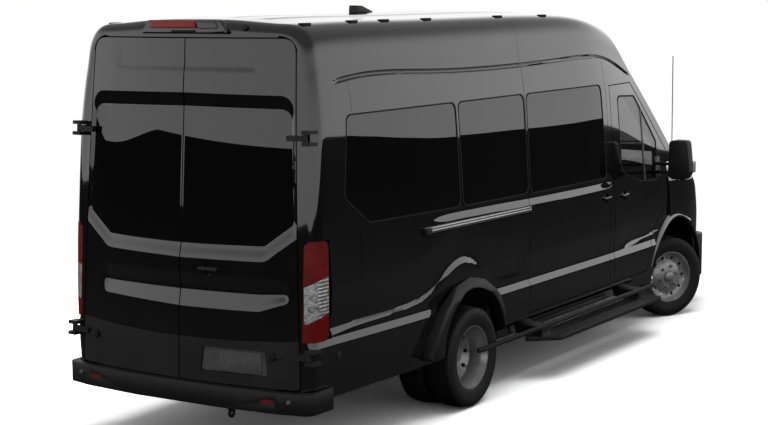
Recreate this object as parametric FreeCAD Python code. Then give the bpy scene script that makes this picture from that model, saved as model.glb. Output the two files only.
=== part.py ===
import FreeCAD, Part
import math
import os

os.makedirs("parts", exist_ok=True)
V = FreeCAD.Vector

# A long, high-roofed minibus with twin rear wheels. The frame is +X forward, +Y left, +Z up.
# The origin is on the ground, under the middle of the overall length.

# Driving dimensions of the whole vehicle
overall_length = 6704
wheelbase = 3750
front_overhang = 1023
roof_height = 2700
body_half_width = 1008
sill_height = 430
front_end_x = overall_length / 2
rear_end_x = -overall_length / 2
front_axle_x = front_end_x - front_overhang
rear_axle_x = front_axle_x - wheelbase

# Walls, gaps and cutter overrun
wall = 50
panel_wall = 25
glass_thickness = 6
glass_inset = 3
door_gap = 8
panel_gap = 5
clear_gap = 6
seat_gap = 0.3
overrun = 40
trim_proud = 18

# Cross-section of the body: share of the half width against share of the height from sill to roof
section_shares = (
    (0.977, 0.000), (0.989, 0.045), (0.998, 0.140), (1.000, 0.210), (0.997, 0.300),
    (0.990, 0.385), (0.985, 0.440), (0.975, 0.530), (0.960, 0.645), (0.944, 0.735),
    (0.923, 0.800), (0.905, 0.845), (0.885, 0.890), (0.861, 0.938), (0.800, 0.972),
    (0.640, 0.987), (0.330, 0.997),
)
wall_rows = 14
# Stations along the body: place as a share of the overall length, then shares of the width at
# the sill, of the width at the roof and of the roof's height
station_shares = (
    (-0.520, 0.930, 0.995, 0.985), (-0.462, 0.945, 1.000, 0.995), (-0.400, 0.965, 1.000, 1.000),
    (-0.290, 0.992, 1.000, 1.000), (-0.100, 1.000, 1.000, 1.000), (0.040, 1.000, 0.997, 0.997),
    (0.110, 1.000, 0.990, 0.985), (0.165, 0.998, 0.970, 0.955), (0.225, 0.994, 0.945, 0.895),
    (0.290, 0.985, 0.925, 0.820), (0.370, 0.965, 0.905, 0.760),
)
rear_station_shares = (0.940, 0.998, 0.991)

# The rear face curves forward from sill to roof and bows outwards between two round corners
rear_low_x = -3313
rear_middle_x = -3262
rear_high_x = -3158
rear_middle_z = 1500
rear_bow = 111
rear_bow_half = 1000
rear_corner_radius = 75
rear_corner_margin = 2
rear_side_slope = 0.12
rear_rows = (0.0, 0.16, 0.33, 0.48, 0.63, 0.78, 0.87, 0.945, 1.015)

# The windscreen's face: ruled lines up the slope, bowed between the pillars
screen_foot_x = 2530
screen_foot_z = 1400
screen_run = 1204
screen_rise = 1066
screen_bow = 255
screen_bow_half = 1200
screen_rear_x = 900
screen_low_z = 1430
screen_high_z = 2420
screen_half_low = 790
screen_half_high = 650

# Lines of the body side
drip_line_z = 2325
drip_front_x = 900
header_x = 1330
header_z = 2220
roof_front_x = 2000
door_bottom_z = 505
front_door_rear_x = 972
front_door_front_x = 2155
front_door_top_z = 2085
front_door_shoulder_x = 1465
slide_door_rear_x = -508
slide_door_front_x = 884
slide_door_top_z = 2317
belt_z = 1370
channel_rear_x = -2830
channel_half = 9
slide_handle_x = 815
slide_handle_z = 1205
front_handle_x = 1175
front_handle_z = 1190
arch_clear_radius = 700
shoulder_growth = 1.4

# Side windows, as (x, z) corners, from the rear to the sliding door
window_top_z = 2110
window_radius = 60
pane_rear = ((-2815, 2110), (-2875, 1601), (-2615, 1421), (-1504, 1396), (-1504, 2110))
pane_middle = ((-1480, 2110), (-1480, 1396), (-533, 1382), (-533, 2110))
pane_front = ((-483, 2110), (-483, 1377), (800, 1362), (800, 2110))
front_door_pane = (
    (1122, 2000), (1137, 1410), (1212, 1355), (1532, 1265), (1925, 1240), (1950, 1570), (1525, 1980),
)

# Rear doors: half widths and heights of the opening, and the left pane's (y, z) corners
rear_door_low_z = 470
rear_door_top_z = 2572
rear_door_half_low = 865
rear_door_half_high = 785
leaf_pane = ((32, 1318), (610, 1328), (805, 1468), (770, 2140), (32, 2150))
rear_zone_x = -2950
recess_depth = 12
recess_radius = 38
rear_handle_y = -228
rear_handle_z = 1169
plate_outline = ((-165, 537), (-649, 537), (-649, 693), (-165, 693))
plate_radius = 20
tail_low_z = 762
tail_high_z = 1375
tail_front_x = -3045
hinge_low_x = -3236
hinge_low_y = 933
hinge_low_z = 679
hinge_high_x = -3176
hinge_high_y = 892
hinge_high_z = 1989
hinge_pin_clearance = 0.05

# Wheels
tyre_radius = 349.5
tyre_width = 198
rim_radius = 222
rim_width = 152
front_track_half = 866
rear_outer_y = 950
twin_spacing = 230
kingpin_inset = 40
steer_right_deg = 27.5
steer_left_deg = 24.5
hub_radius = 70

# Wheel arches
front_arch_x = 2310
front_arch_z = 335
front_arch_radius = 540
rear_arch_z = 405
rear_arch_radius = 428

# Floor and chassis
floor_top_z = 700
floor_thickness = 50
chassis_half = 470
rail_width = 70
rail_low_z = 470


def box(x0, x1, y0, y1, z0, z1):
    return Part.makeBox(x1 - x0, y1 - y0, z1 - z0, V(x0, y0, z0))


def spread_box(x0, x1, y0, y1, z0, z1):
    """A box whose two sides across the vehicle may come in either order."""
    return box(x0, x1, min(y0, y1), max(y0, y1), z0, z1)


def mirrored(shape):
    return shape.mirror(V(0, 0, 0), V(0, 1, 0))


def save(name, *shapes):
    solids = []
    for shape in shapes:
        solids.extend(shape.Solids)
    Part.makeCompound(solids).exportStep("parts/" + name + ".step")


def largest(shape):
    return max(shape.Solids, key=lambda solid: solid.Volume)


def cylinder_y(x, z, radius, y0, y1):
    return Part.makeCylinder(radius, y1 - y0, V(x, y0, z), V(0, 1, 0))


def rounded_wire(corners, radius):
    """A closed wire through flat corners, each rounded by the radius or as far as its sides allow."""
    count = len(corners)
    arcs = []
    starts = []
    ends = []
    for i, corner in enumerate(corners):
        before = corners[i - 1] - corner
        after = corners[(i + 1) % count] - corner
        half_turn = before.getAngle(after) / 2
        reach = min(radius / math.tan(half_turn), before.Length * 0.45, after.Length * 0.45)
        first = corner + before.normalize() * reach
        last = corner + after.normalize() * reach
        to_middle = (first + last) / 2 - corner
        apex = corner + to_middle.normalize() * (reach / math.cos(half_turn) - reach * math.tan(half_turn))
        starts.append(first)
        ends.append(last)
        arcs.append(Part.Arc(first, apex, last).toShape())
    joined = []
    for i in range(count):
        joined.append(arcs[i])
        joined.append(Part.LineSegment(ends[i], starts[(i + 1) % count]).toShape())
    return Part.Wire(joined)


def prism(points, radius, run):
    wire = rounded_wire(points, radius) if radius else Part.makePolygon(points + points[:1])
    return Part.Face(wire).extrude(run)


def side_prism(corners, radius, y0, y1):
    """Corners are (x, z); the prism runs across the vehicle from y0 to y1."""
    return prism([V(x, y0, z) for x, z in corners], radius, V(0, y1 - y0, 0))


def end_prism(corners, radius, x0, x1):
    """Corners are (y, z); the prism runs along the vehicle from x0 to x1."""
    return prism([V(x0, y, z) for y, z in corners], radius, V(x1 - x0, 0, 0))


def plan_prism(corners, radius, z0, z1):
    """Corners are (x, y); the prism runs up from z0 to z1."""
    return prism([V(x, y, z0) for x, y in corners], radius, V(0, 0, z1 - z0))


def grown(corners, amount):
    """Flat (u, v) corners of a convex outline, moved outwards by the amount."""
    count = len(corners)
    area = sum(corners[i - 1][0] * corners[i][1] - corners[i][0] * corners[i - 1][1] for i in range(count))
    turn = 1 if area > 0 else -1
    moved = []
    for i in range(count):
        (u0, v0), (u1, v1), (u2, v2) = corners[i - 1], corners[i], corners[(i + 1) % count]
        a = V(u1 - u0, v1 - v0, 0).normalize()
        b = V(u2 - u1, v2 - v1, 0).normalize()
        na = V(a.y, -a.x, 0) * turn
        nb = V(b.y, -b.x, 0) * turn
        bisector = na + nb
        scale = amount / bisector.dot(na)
        moved.append((u1 + bisector.x * scale, v1 + bisector.y * scale))
    return moved


def revolved(profile):
    """Profile points are (y, r), turned about the Y axis."""
    points = [V(0, y, r) for y, r in profile]
    return Part.Face(Part.makePolygon(points + points[:1])).revolve(V(0, 0, 0), V(0, 1, 0), 360)


def faceted_ring(profile, sides):
    """A ring of flat faces about the Y axis, on a flat side: the profile's points are (y, r)."""
    rims = []
    for y, r in profile:
        reach = r / math.cos(math.pi / sides)
        turns = [2 * math.pi * (i + 0.5) / sides for i in range(sides + 1)]
        rims.append([V(reach * math.cos(turn), y, reach * math.sin(turn)) for turn in turns])
    faces = []
    for j, rim in enumerate(rims):
        following = rims[(j + 1) % len(rims)]
        for i in range(sides):
            corners = [rim[i], following[i], following[i + 1], rim[i + 1]]
            faces.append(Part.Face(Part.makePolygon(corners + corners[:1])))
    ring = Part.Solid(Part.Shell(faces))
    if ring.Volume < 0:
        ring.reverse()
    return ring


def placed(shape, x, z):
    moved = shape.copy()
    moved.translate(V(x, 0, z))
    return moved


def set_in(points, inset):
    """Points of a cross-section moved inwards, with its two feet run out below the sill."""
    moved = []
    last = len(points) - 1
    for i, p in enumerate(points):
        along = points[min(i + 1, last)] - points[max(i - 1, 0)]
        along.normalize()
        moved.append(p + V(0, along.z, -along.y) * inset)
    moved[0].z = sill_height - overrun
    moved[last].z = sill_height - overrun
    return moved


def body_points(x, low_share, high_share, roof_share):
    """Points of one cross-section from the right sill over the roof to the left sill."""
    height = (roof_height - sill_height) * roof_share
    half = []
    for width_share, height_share in section_shares:
        taper = low_share + (high_share - low_share) * height_share
        half.append(V(x, -body_half_width * width_share * taper, sill_height + height * height_share))
    return half + [V(x, 0, sill_height + height)] + [V(p.x, -p.y, p.z) for p in reversed(half)]


def section_loft(sections, inset):
    wires = []
    for points in sections:
        if inset:
            points = set_in(points, inset)
        curve = Part.BSplineCurve()
        curve.interpolate(points)
        base = Part.LineSegment(points[-1], points[0]).toShape()
        wires.append(Part.Wire([curve.toShape(), base]))
    return Part.makeLoft(wires, True, False)


def rear_place(z):
    """Where the middle of the rear face is at the height: a curve through three known places."""
    heights = (sill_height, rear_middle_z, roof_height)
    place = 0
    for i, known in enumerate((rear_low_x, rear_middle_x, rear_high_x)):
        share = 1
        for j, other in enumerate(heights):
            if j != i:
                share *= (z - other) / (heights[i] - other)
        place += known * share
    return place


def half_width(shares, z):
    """Half width of the body's wall at the height, in a section with these width and roof shares."""
    points = body_points(0, *shares)[:wall_rows]
    for low, high in zip(points, points[1:]):
        if z <= high.z:
            share = max(z - low.z, 0) / (high.z - low.z)
            return -(low.y + (high.y - low.y) * share)
    return -points[-1].y


def rear_wire(z, inset):
    """Plan outline of the space ahead of the rear face: a bowed back, round corners, open sides."""
    half = half_width(rear_station_shares, z) + rear_corner_margin + abs(inset) / 10 - inset
    radius = rear_corner_radius - inset
    middle = rear_place(z) + inset
    bow = rear_bow / rear_bow_half ** 2
    back = V(2 * bow * half, -1, 0).normalize()
    side = V(1, -rear_side_slope, 0).normalize()
    corner = V(middle + bow * half ** 2, -half, 0)
    reach = radius / math.tan((-back).getAngle(side) / 2)
    first = corner - back * reach
    last = corner + side * reach
    centre = first + V(-back.y, back.x, 0) * radius
    apex = centre + (corner - centre).normalize() * radius
    right = [V(p.x, p.y, z) for p in (first, apex, last, last + side * overall_length)]
    left = [V(p.x, -p.y, p.z) for p in right]
    return Part.Wire([
        Part.Arc(left[0], V(middle, 0, z), right[0]).toShape(), Part.Arc(*right[:3]).toShape(),
        Part.LineSegment(right[2], right[3]).toShape(), Part.LineSegment(right[3], left[3]).toShape(),
        Part.LineSegment(left[3], left[2]).toShape(), Part.Arc(*reversed(left[:3])).toShape(),
    ])


def rear_prism(inset):
    """Everything ahead of the rear face."""
    return Part.makeLoft([rear_wire(share * roof_height, inset) for share in rear_rows], True, False)


def screen_prism(inset):
    """Everything behind the windscreen's sloping, bowed face."""
    slope = math.hypot(screen_run, screen_rise)
    foot_x = screen_foot_x - inset * slope / screen_rise
    edge_x = foot_x - screen_bow
    back_x = -overall_length
    arc = Part.Arc(V(edge_x, -screen_bow_half, 0), V(foot_x, 0, 0), V(edge_x, screen_bow_half, 0)).toShape()
    corners = [V(edge_x, screen_bow_half, 0), V(back_x, screen_bow_half, 0), V(back_x, -screen_bow_half, 0),
               V(edge_x, -screen_bow_half, 0)]
    face = Part.Face(Part.Wire([arc] + Part.makePolygon(corners).Edges))
    face.translate(V(screen_run * screen_foot_z / screen_rise, 0, 0))
    height = roof_height + overrun
    return face.extrude(V(-screen_run * height / screen_rise, 0, height))


def body_skin(inset):
    sections = [body_points(place * overall_length, low, high, roof) for place, low, high, roof in station_shares]
    return section_loft(sections, inset).common(rear_prism(inset)).common(screen_prism(inset))


# The whole body as nested skins: the outside, the inside, the glass and what stands proud
outer = body_skin(0)
inner = body_skin(wall)
glass_outer = body_skin(glass_inset)
glass_inner = body_skin(glass_inset + glass_thickness)
proud_skin = body_skin(-trim_proud)
clear_skin = body_skin(-clear_gap)
far_out = body_half_width + wall
side_in = body_half_width * 0.6


def right_prism(corners, radius):
    return side_prism(corners, radius, -far_out, -side_in)


def skin_y(x, z):
    """Where the body's right side is, at the place and height."""
    return Part.makeLine(V(x, -far_out, z), V(x, 0, z)).common(outer).BoundBox.YMin


# A drip channel runs along the seam between the roof and the sides
channel_line = [(channel_rear_x, drip_line_z), (drip_front_x, drip_line_z), (header_x, header_z)]
channel = side_prism([(x, z - channel_half) for x, z in channel_line]
                     + [(x, z + channel_half) for x, z in reversed(channel_line)], 0, -far_out, far_out)
channel_plan = [(place * overall_length, recess_depth - half_width(shares, drip_line_z))
                for place, *shares in station_shares]
channel_core = plan_prism(channel_plan + [(x, -y) for x, y in reversed(channel_plan)], 0, 0, roof_height)
shell = outer.cut(channel.cut(channel_core)).cut(inner)
glass_shell = glass_outer.cut(glass_inner)

# Front door: its lower front corner follows the wheel arch, its upper edge the pillar
pillar_slope = screen_run / screen_rise
pillar_foot_z = front_door_top_z - (front_door_front_x - front_door_shoulder_x) / pillar_slope


def front_door_prism(gap):
    low = door_bottom_z - gap
    high = front_door_top_z + gap
    rear = front_door_rear_x - gap
    front = front_door_front_x + gap
    shoulder = front_door_shoulder_x + gap * shoulder_growth
    outline = [(rear, low), (front, low), (front, pillar_foot_z + gap), (shoulder, high), (rear, high)]
    arch = cylinder_y(front_axle_x, tyre_radius, arch_clear_radius - gap, -far_out, -side_in)
    return right_prism(outline, 0).cut(arch)


front_door_hole = front_door_prism(door_gap)
front_door_zone = front_door_prism(0)
slide_door_outline = [
    (slide_door_rear_x, door_bottom_z), (slide_door_front_x, door_bottom_z),
    (slide_door_front_x, slide_door_top_z), (slide_door_rear_x, slide_door_top_z),
]
slide_zone = right_prism(slide_door_outline, 0)
slide_hole = right_prism(grown(slide_door_outline, panel_gap), 0)

side_panes = (pane_rear, pane_middle, pane_front)
window_cutters = [right_prism(outline, window_radius) for outline in side_panes]
pane_cutters = [right_prism(grown(outline, -seat_gap), window_radius) for outline in side_panes]
door_window_cutter = right_prism(front_door_pane, window_radius)
door_pane_cutter = right_prism(grown(front_door_pane, -seat_gap), window_radius)

# Wheel arch openings
front_arch = cylinder_y(front_arch_x, front_arch_z, front_arch_radius, -far_out, -side_in)
rear_arch = cylinder_y(rear_axle_x, rear_arch_z, rear_arch_radius, -far_out, -side_in)
rear_arch = rear_arch.fuse(box(rear_axle_x - rear_arch_radius, rear_axle_x + rear_arch_radius,
                               -far_out, -side_in, sill_height - overrun, rear_arch_z))

# Rear doors, as (y, z): both leaves' opening and the left leaf
leaf = [
    (door_gap / 2, rear_door_low_z), (rear_door_half_low, rear_door_low_z),
    (rear_door_half_high, rear_door_top_z), (door_gap / 2, rear_door_top_z),
]
both_leaves = [(-y, z) for y, z in leaf[1:3]] + [(y, z) for y, z in reversed(leaf[1:3])]
tail_rear_x = rear_end_x - overrun
rear_hole = end_prism(grown(both_leaves, door_gap), 0, tail_rear_x, rear_zone_x)
leaf_zone = end_prism(leaf, 0, tail_rear_x, rear_zone_x)
leaf_window = end_prism(leaf_pane, window_radius, tail_rear_x, rear_zone_x)
leaf_glass_zone = end_prism(grown(leaf_pane, -seat_gap), window_radius, tail_rear_x, rear_zone_x)

# Tail lamps wrap round the rear corners
tail_in_y = rear_door_half_low + door_gap + clear_gap
tail_zone = box(rear_end_x, tail_front_x, -far_out, -tail_in_y, tail_low_z, tail_high_z)

# Roof panel: all of the shell above the drip line, with the header over the windscreen
roof_zone = side_prism([
    (tail_rear_x, drip_line_z), (drip_front_x, drip_line_z), (header_x, header_z), (roof_front_x, header_z),
    (roof_front_x, roof_height + overrun), (tail_rear_x, roof_height + overrun),
], 0, -far_out, far_out)
screen_outline = [
    (-screen_half_low, screen_low_z), (screen_half_low, screen_low_z),
    (screen_half_high, screen_high_z), (-screen_half_high, screen_high_z),
]
screen_window = end_prism(screen_outline, window_radius, screen_rear_x, front_end_x)
screen_zone = end_prism(grown(screen_outline, -seat_gap), window_radius, screen_rear_x, front_end_x)

right_half = box(tail_rear_x, front_end_x, -far_out, 0, 0, roof_height)
open_shell = shell.cut(screen_window).cut(rear_hole)
save("roof_panel", open_shell.common(roof_zone))
lower_shell = open_shell.cut(roof_zone)
lower_shell = lower_shell.cut(box(front_door_front_x + door_gap, front_end_x, -far_out, far_out, 0, belt_z))

plain_side = lower_shell.common(right_half).cut(front_door_hole).cut(rear_arch).cut(front_arch).cut(tail_zone)
right_side = plain_side.cut(slide_hole)
for cutter in window_cutters[:2]:
    right_side = right_side.cut(cutter)
save("side_panel_right", right_side)
left_side = plain_side
for cutter in window_cutters:
    left_side = left_side.cut(cutter)
save("side_panel_left", mirrored(left_side))


def side_recess(x, z):
    """The round dish in a side door's skin, behind its handle."""
    return cylinder_y(x, z, recess_radius, -far_out, skin_y(x, z) + recess_depth)


right_half_shell = shell.common(right_half)
sliding_door = right_half_shell.common(slide_zone).cut(window_cutters[2])
save("sliding_door", sliding_door.cut(side_recess(slide_handle_x, slide_handle_z)))
front_door = right_half_shell.common(front_door_zone).cut(door_window_cutter)
front_door = front_door.cut(side_recess(front_handle_x, front_handle_z))
save("front_door_right", front_door)
save("front_door_left", mirrored(front_door))

panes = [glass_shell.common(cutter) for cutter in pane_cutters]
save("side_glass", *(panes + [mirrored(pane) for pane in panes]))
door_pane = glass_shell.common(door_pane_cutter)
save("front_glass_right", door_pane)
save("front_glass_left", mirrored(door_pane))
save("windscreen", glass_shell.common(screen_zone))

# The right leaf carries the handle over a dish, and a recess for the number plate
rear_door = shell.common(leaf_zone).cut(leaf_window)
save("rear_door_left", rear_door)
recess_floor = rear_prism(recess_depth)
plate_recess = end_prism(plate_outline, plate_radius, tail_rear_x, rear_zone_x).cut(recess_floor)
rear_dish = Part.makeCylinder(recess_radius, rear_zone_x - tail_rear_x, V(tail_rear_x, rear_handle_y, rear_handle_z),
                              V(1, 0, 0)).cut(recess_floor)
save("rear_door_right", mirrored(rear_door).cut(plate_recess).cut(rear_dish))
rear_pane = glass_shell.common(leaf_glass_zone)
save("rear_glass_left", rear_pane)
save("rear_glass_right", mirrored(rear_pane))

# Front end: sections of wings and bonnet, as shares of the front end's place, of the half
# width and of the roof height
front_station_shares = (
    (0.6453, 0.967, 0.478, 0.513), (0.731, 0.962, 0.470, 0.508), (0.806, 0.945, 0.455, 0.492),
    (0.865, 0.905, 0.435, 0.470), (0.925, 0.825, 0.405, 0.438), (0.985, 0.680, 0.365, 0.393),
)
# Shares of the width and of the height from sill to shoulder
wing_shares = ((0.980, 0.0), (0.992, 0.15), (1.0, 0.40), (0.998, 0.65), (0.985, 0.85), (0.950, 1.0))
# Shares of the shoulder's width and of the rise from shoulder to crown
bonnet_shares = ((0.87, 0.42), (0.70, 0.72), (0.40, 0.93))
nose_x = 3290
nose_bow = 330
nose_bow_half = 1000
nose_lean = -0.10
nose_lean_z = 800
wing_end_x = 2975
hood_rear_x = 2610
hood_front_x = 3195
hood_half_rear = 715
hood_half_front = 560
hood_low_z = 1000
hood_gap = 12
hood_barrel_radius = 7
hood_pin_radius = 3
hood_pin_inset = 3
hood_barrel_length = 60
hood_lug_length = 14
hood_lug_gap = 2.5
hood_hinge_half = 150
grille_half = 455
grille_half_high = 395
grille_low_z = 690
grille_high_z = 985
grille_radius = 30
grille_bar = 22
grille_bars = 5
grille_step = 12
grille_rear_x = 3030
lamp_outline = ((500, 800), (840, 880), (905, 1010), (880, 1110), (760, 1075), (520, 955))
lamp_radius = 25
lamp_rear_x = 2730
bumper_rear_x = 2862
bumper_low_z = 262
bumper_high_z = 640
bumper_wall = 30
bumper_outline = (
    (2862, -958), (3080, -915), (3270, -660), (3352, -330), (3352, 330), (3270, 660), (3080, 915), (2862, 958),
)
bumper_radius = 160
bumper_inner_radius = 140
bumper_inner_share = 0.965
intake_rear_x = 3000
intake_half = 400
intake_low_z = 400
intake_high_z = 520


def front_points(place, width_share, shoulder_share, crown_share):
    x = place * front_end_x
    width = width_share * body_half_width
    shoulder = shoulder_share * roof_height
    crown = crown_share * roof_height
    edge = wing_shares[-1][0] * width
    half = [V(x, -width * w, sill_height + (shoulder - sill_height) * h) for w, h in wing_shares]
    half += [V(x, -edge * w, shoulder + (crown - shoulder) * h) for w, h in bonnet_shares]
    return half + [V(x, 0, crown)] + [V(p.x, -p.y, p.z) for p in reversed(half)]


def nose_prism(inset):
    """Everything behind the nose's bowed, leaning face."""
    face_x = nose_x - inset
    corner_x = face_x - nose_bow
    arc = Part.Arc(V(corner_x, -nose_bow_half, 0), V(face_x, 0, 0), V(corner_x, nose_bow_half, 0)).toShape()
    corners = [V(corner_x, nose_bow_half, 0), V(0, nose_bow_half, 0), V(0, -nose_bow_half, 0),
               V(corner_x, -nose_bow_half, 0)]
    face = Part.Face(Part.Wire([arc] + Part.makePolygon(corners).Edges))
    face.translate(V(-nose_lean * nose_lean_z, 0, 0))
    return face.extrude(V(nose_lean * roof_height, 0, roof_height))


def front_skin(inset):
    sections = [front_points(*shares) for shares in front_station_shares]
    return section_loft(sections, inset).common(nose_prism(inset))


front_outer = front_skin(0)
cab_upper = outer.common(box(0, front_end_x, -far_out, far_out, belt_z, roof_height))
front_shell = front_outer.cut(front_skin(panel_wall)).cut(cab_upper)
hood_outline = [
    (hood_rear_x, -hood_half_rear), (hood_front_x, -hood_half_front), (hood_front_x, hood_half_front),
    (hood_rear_x, hood_half_rear),
]
hood_zone = plan_prism(hood_outline, 0, hood_low_z, roof_height)
hood_hole = plan_prism(grown(hood_outline, hood_gap), 0, hood_low_z - hood_gap, roof_height)

# Grille: bars on both sides of a middle post
grille_zone = end_prism([
    (-grille_half, grille_low_z), (grille_half, grille_low_z), (grille_half_high, grille_high_z),
    (-grille_half_high, grille_high_z),
], grille_radius, grille_rear_x, front_end_x)
grille = front_shell.common(grille_zone)
bar_pitch = (grille_high_z - grille_low_z - grille_bar) / grille_bars
for i in range(grille_bars):
    slot_low = grille_low_z + grille_bar + bar_pitch * i
    slot_end = grille_half - 3 * grille_bar - i * grille_step
    for side in (-1, 1):
        grille = grille.cut(spread_box(grille_rear_x, front_end_x, side * grille_bar / 2, side * slot_end,
                                       slot_low, slot_low + bar_pitch - grille_bar))
save("grille", grille)
lamp_zone = end_prism(lamp_outline, lamp_radius, lamp_rear_x, front_end_x)
lamp_zones = lamp_zone.fuse(mirrored(lamp_zone))
headlamp = front_shell.common(lamp_zone).cut(hood_hole)
save("headlamps", headlamp, mirrored(headlamp))

# Bonnet, with two barrels that turn on pins between lugs on the cowl
hood = front_shell.common(hood_zone)
hood_hinge_x = hood_rear_x - hood_pin_inset
crown_line = Part.makeLine(V(hood_hinge_x, 0, 0), V(hood_hinge_x, 0, roof_height)).common(front_outer)
hood_hinge_z = crown_line.BoundBox.ZMax - hood_barrel_radius
hinge_low_face = hood_hinge_z - hood_barrel_radius
hinge_high_face = hood_hinge_z + hood_barrel_radius
hood_lugs = []
hood_notches = []
for side in (-1, 1):
    start_y = side * hood_hinge_half - hood_barrel_length / 2
    end_y = start_y + hood_barrel_length
    near_y = start_y - hood_lug_gap
    far_y = end_y + hood_lug_gap
    lug_near_y = near_y - hood_lug_length
    lug_far_y = far_y + hood_lug_length
    barrel = cylinder_y(hood_hinge_x, hood_hinge_z, hood_barrel_radius, start_y, end_y)
    hood_notches.append(cylinder_y(hood_hinge_x, hood_hinge_z, hood_barrel_radius + panel_gap, near_y, far_y))
    lug_notch = cylinder_y(hood_hinge_x, hood_hinge_z, hood_barrel_radius + panel_gap, lug_near_y, lug_far_y)
    bore = cylinder_y(hood_hinge_x, hood_hinge_z, hood_pin_radius + hinge_pin_clearance, lug_near_y, lug_far_y)
    neck = box(hood_hinge_x, hood_rear_x + 3 * panel_gap, start_y, end_y, hinge_low_face, hinge_high_face)
    hood = hood.cut(lug_notch).fuse(barrel.fuse(neck.common(front_outer))).cut(bore)
    lugs = cylinder_y(hood_hinge_x, hood_hinge_z, hood_pin_radius, lug_near_y, lug_far_y)
    for low_y, high_y in ((lug_near_y, near_y), (far_y, lug_far_y)):
        lugs = lugs.fuse(cylinder_y(hood_hinge_x, hood_hinge_z, hood_barrel_radius, low_y, high_y))
        lugs = lugs.fuse(box(hood_rear_x - hood_gap - panel_wall, hood_hinge_x, low_y, high_y,
                             hinge_low_face, hinge_high_face))
    hood_lugs.append(lugs)
save("hood", hood)
front_body = front_shell.cut(hood_hole).cut(grille_zone).cut(lamp_zones)
front_body = front_body.cut(cylinder_y(front_arch_x, front_arch_z, front_arch_radius, -far_out, far_out))
front_body = front_body.cut(box(bumper_rear_x, front_end_x, -far_out, far_out, 0, bumper_high_z))
wings = front_body.common(box(0, wing_end_x, -far_out, far_out, 0, roof_height))
for notch, lugs in zip(hood_notches, hood_lugs):
    wings = wings.cut(notch).fuse(lugs)
save("wings_and_cowl", wings)
save("nose_panel", front_body.common(box(wing_end_x, front_end_x, -far_out, far_out, 0, roof_height)))

bumper_inside = [(x - bumper_wall * 1.5, y * bumper_inner_share) for x, y in bumper_outline]
front_bumper = plan_prism(bumper_outline, bumper_radius, bumper_low_z, bumper_high_z)
front_bumper = front_bumper.cut(plan_prism(bumper_inside, bumper_inner_radius, bumper_low_z - overrun,
                                           bumper_high_z - bumper_wall))
front_bumper = front_bumper.cut(box(intake_rear_x, front_end_x + overrun, -intake_half, intake_half,
                                    intake_low_z, intake_high_z))
save("front_bumper", front_bumper)

# Tail lamps and the high stop lamp over the split of the rear doors
stop_half = 330
stop_low_z = 2592
stop_high_z = 2668
stop_out = 26
tail_lamp = shell.common(tail_zone)
save("tail_lamps", tail_lamp, mirrored(tail_lamp))
stop_block = box(rear_end_x, rear_zone_x, -stop_half, stop_half, stop_low_z, stop_high_z)
save("high_stop_lamp", largest(stop_block.common(rear_prism(-stop_out)).cut(outer)))

# Rear bumper: a step across the tail that turns forward along the sides, with two reflectors
step_low_z = 330
step_high_z = rear_door_low_z - door_gap
step_wall = 28
step_outline = (
    (-2990, -975), (-3262, -968), (-3312, -760), (-3352, -330), (-3352, 330), (-3312, 760), (-3262, 968), (-2990, 975),
)
step_inside = (
    (-2950, -936), (-3220, -929), (-3270, -730), (-3310, -317), (-3310, 317), (-3270, 730), (-3220, 929), (-2950, 936),
)
step_radius = 60
step_inner_radius = 50
reflector_y = 685
reflector_z = 401
reflector_wide = 88
reflector_high = 26
reflector_deep = 18
reflector_front_x = -3090
tow_eye_x = -3300
tow_eye_y = -400
tow_eye_z = 292
tow_eye_radius = 30
tow_eye_bore = 12.5
tow_eye_thickness = 12
rear_bumper = plan_prism(step_outline, step_radius, step_low_z, step_high_z)
rear_bumper = rear_bumper.cut(plan_prism(step_inside, step_inner_radius, step_low_z - overrun,
                                         sill_height - step_wall)).cut(outer)
rebate = clear_skin.common(box(tail_rear_x, rear_zone_x, -far_out, far_out, step_high_z - clear_gap, roof_height))
rear_bumper = largest(rear_bumper.cut(rebate))
reflector_zone = box(rear_end_x, reflector_front_x, reflector_y - reflector_wide / 2, reflector_y + reflector_wide / 2,
                     reflector_z - reflector_high / 2, reflector_z + reflector_high / 2)
reflector_face = rear_bumper.common(reflector_zone)
reflector = reflector_face.common(box(rear_end_x, reflector_face.BoundBox.XMin + reflector_deep, 0, far_out,
                                      0, sill_height))
rear_bumper = rear_bumper.cut(reflector).cut(mirrored(reflector))
tow_eye_near_y = tow_eye_y - tow_eye_thickness / 2
tow_eye_far_y = tow_eye_y + tow_eye_thickness / 2
tow_eye = cylinder_y(tow_eye_x, tow_eye_z, tow_eye_radius, tow_eye_near_y, tow_eye_far_y)
tow_eye = tow_eye.fuse(box(tow_eye_x - tow_eye_radius, tow_eye_x + tow_eye_radius, tow_eye_near_y, tow_eye_far_y,
                           tow_eye_z, sill_height - step_wall + clear_gap))
tow_bore = cylinder_y(tow_eye_x, tow_eye_z, tow_eye_bore, tow_eye_near_y - overrun, tow_eye_far_y + overrun)
save("rear_bumper", rear_bumper.fuse(tow_eye).cut(tow_bore))
save("reflectors", reflector, mirrored(reflector))

# Rear door hinges: lugs with a pin on the body, a strap with a barrel on the leaf
hinge_pin_radius = 8
hinge_foot = V(hinge_low_x, hinge_low_y, hinge_low_z)
hinge_head = V(hinge_high_x, hinge_high_y, hinge_high_z)
hinge_axis = (hinge_head - hinge_foot).normalize()
barrel_radius = 16
barrel_half = 22
lug_height = 22
lug_gap = 2
strap_drop = 5
strap_reach = 125
hinge_depth = 75
arm_out = 45
hinge_tilt = math.degrees(V(0, 0, 1).getAngle(hinge_axis))


def on_hinge(shape, middle):
    """A shape built upright at the origin, leaned with the hinge axis and put at the hinge."""
    leaned = shape.copy()
    leaned.rotate(V(0, 0, 0), V(0, 0, 1).cross(hinge_axis), hinge_tilt)
    leaned.translate(middle)
    return leaned


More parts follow.
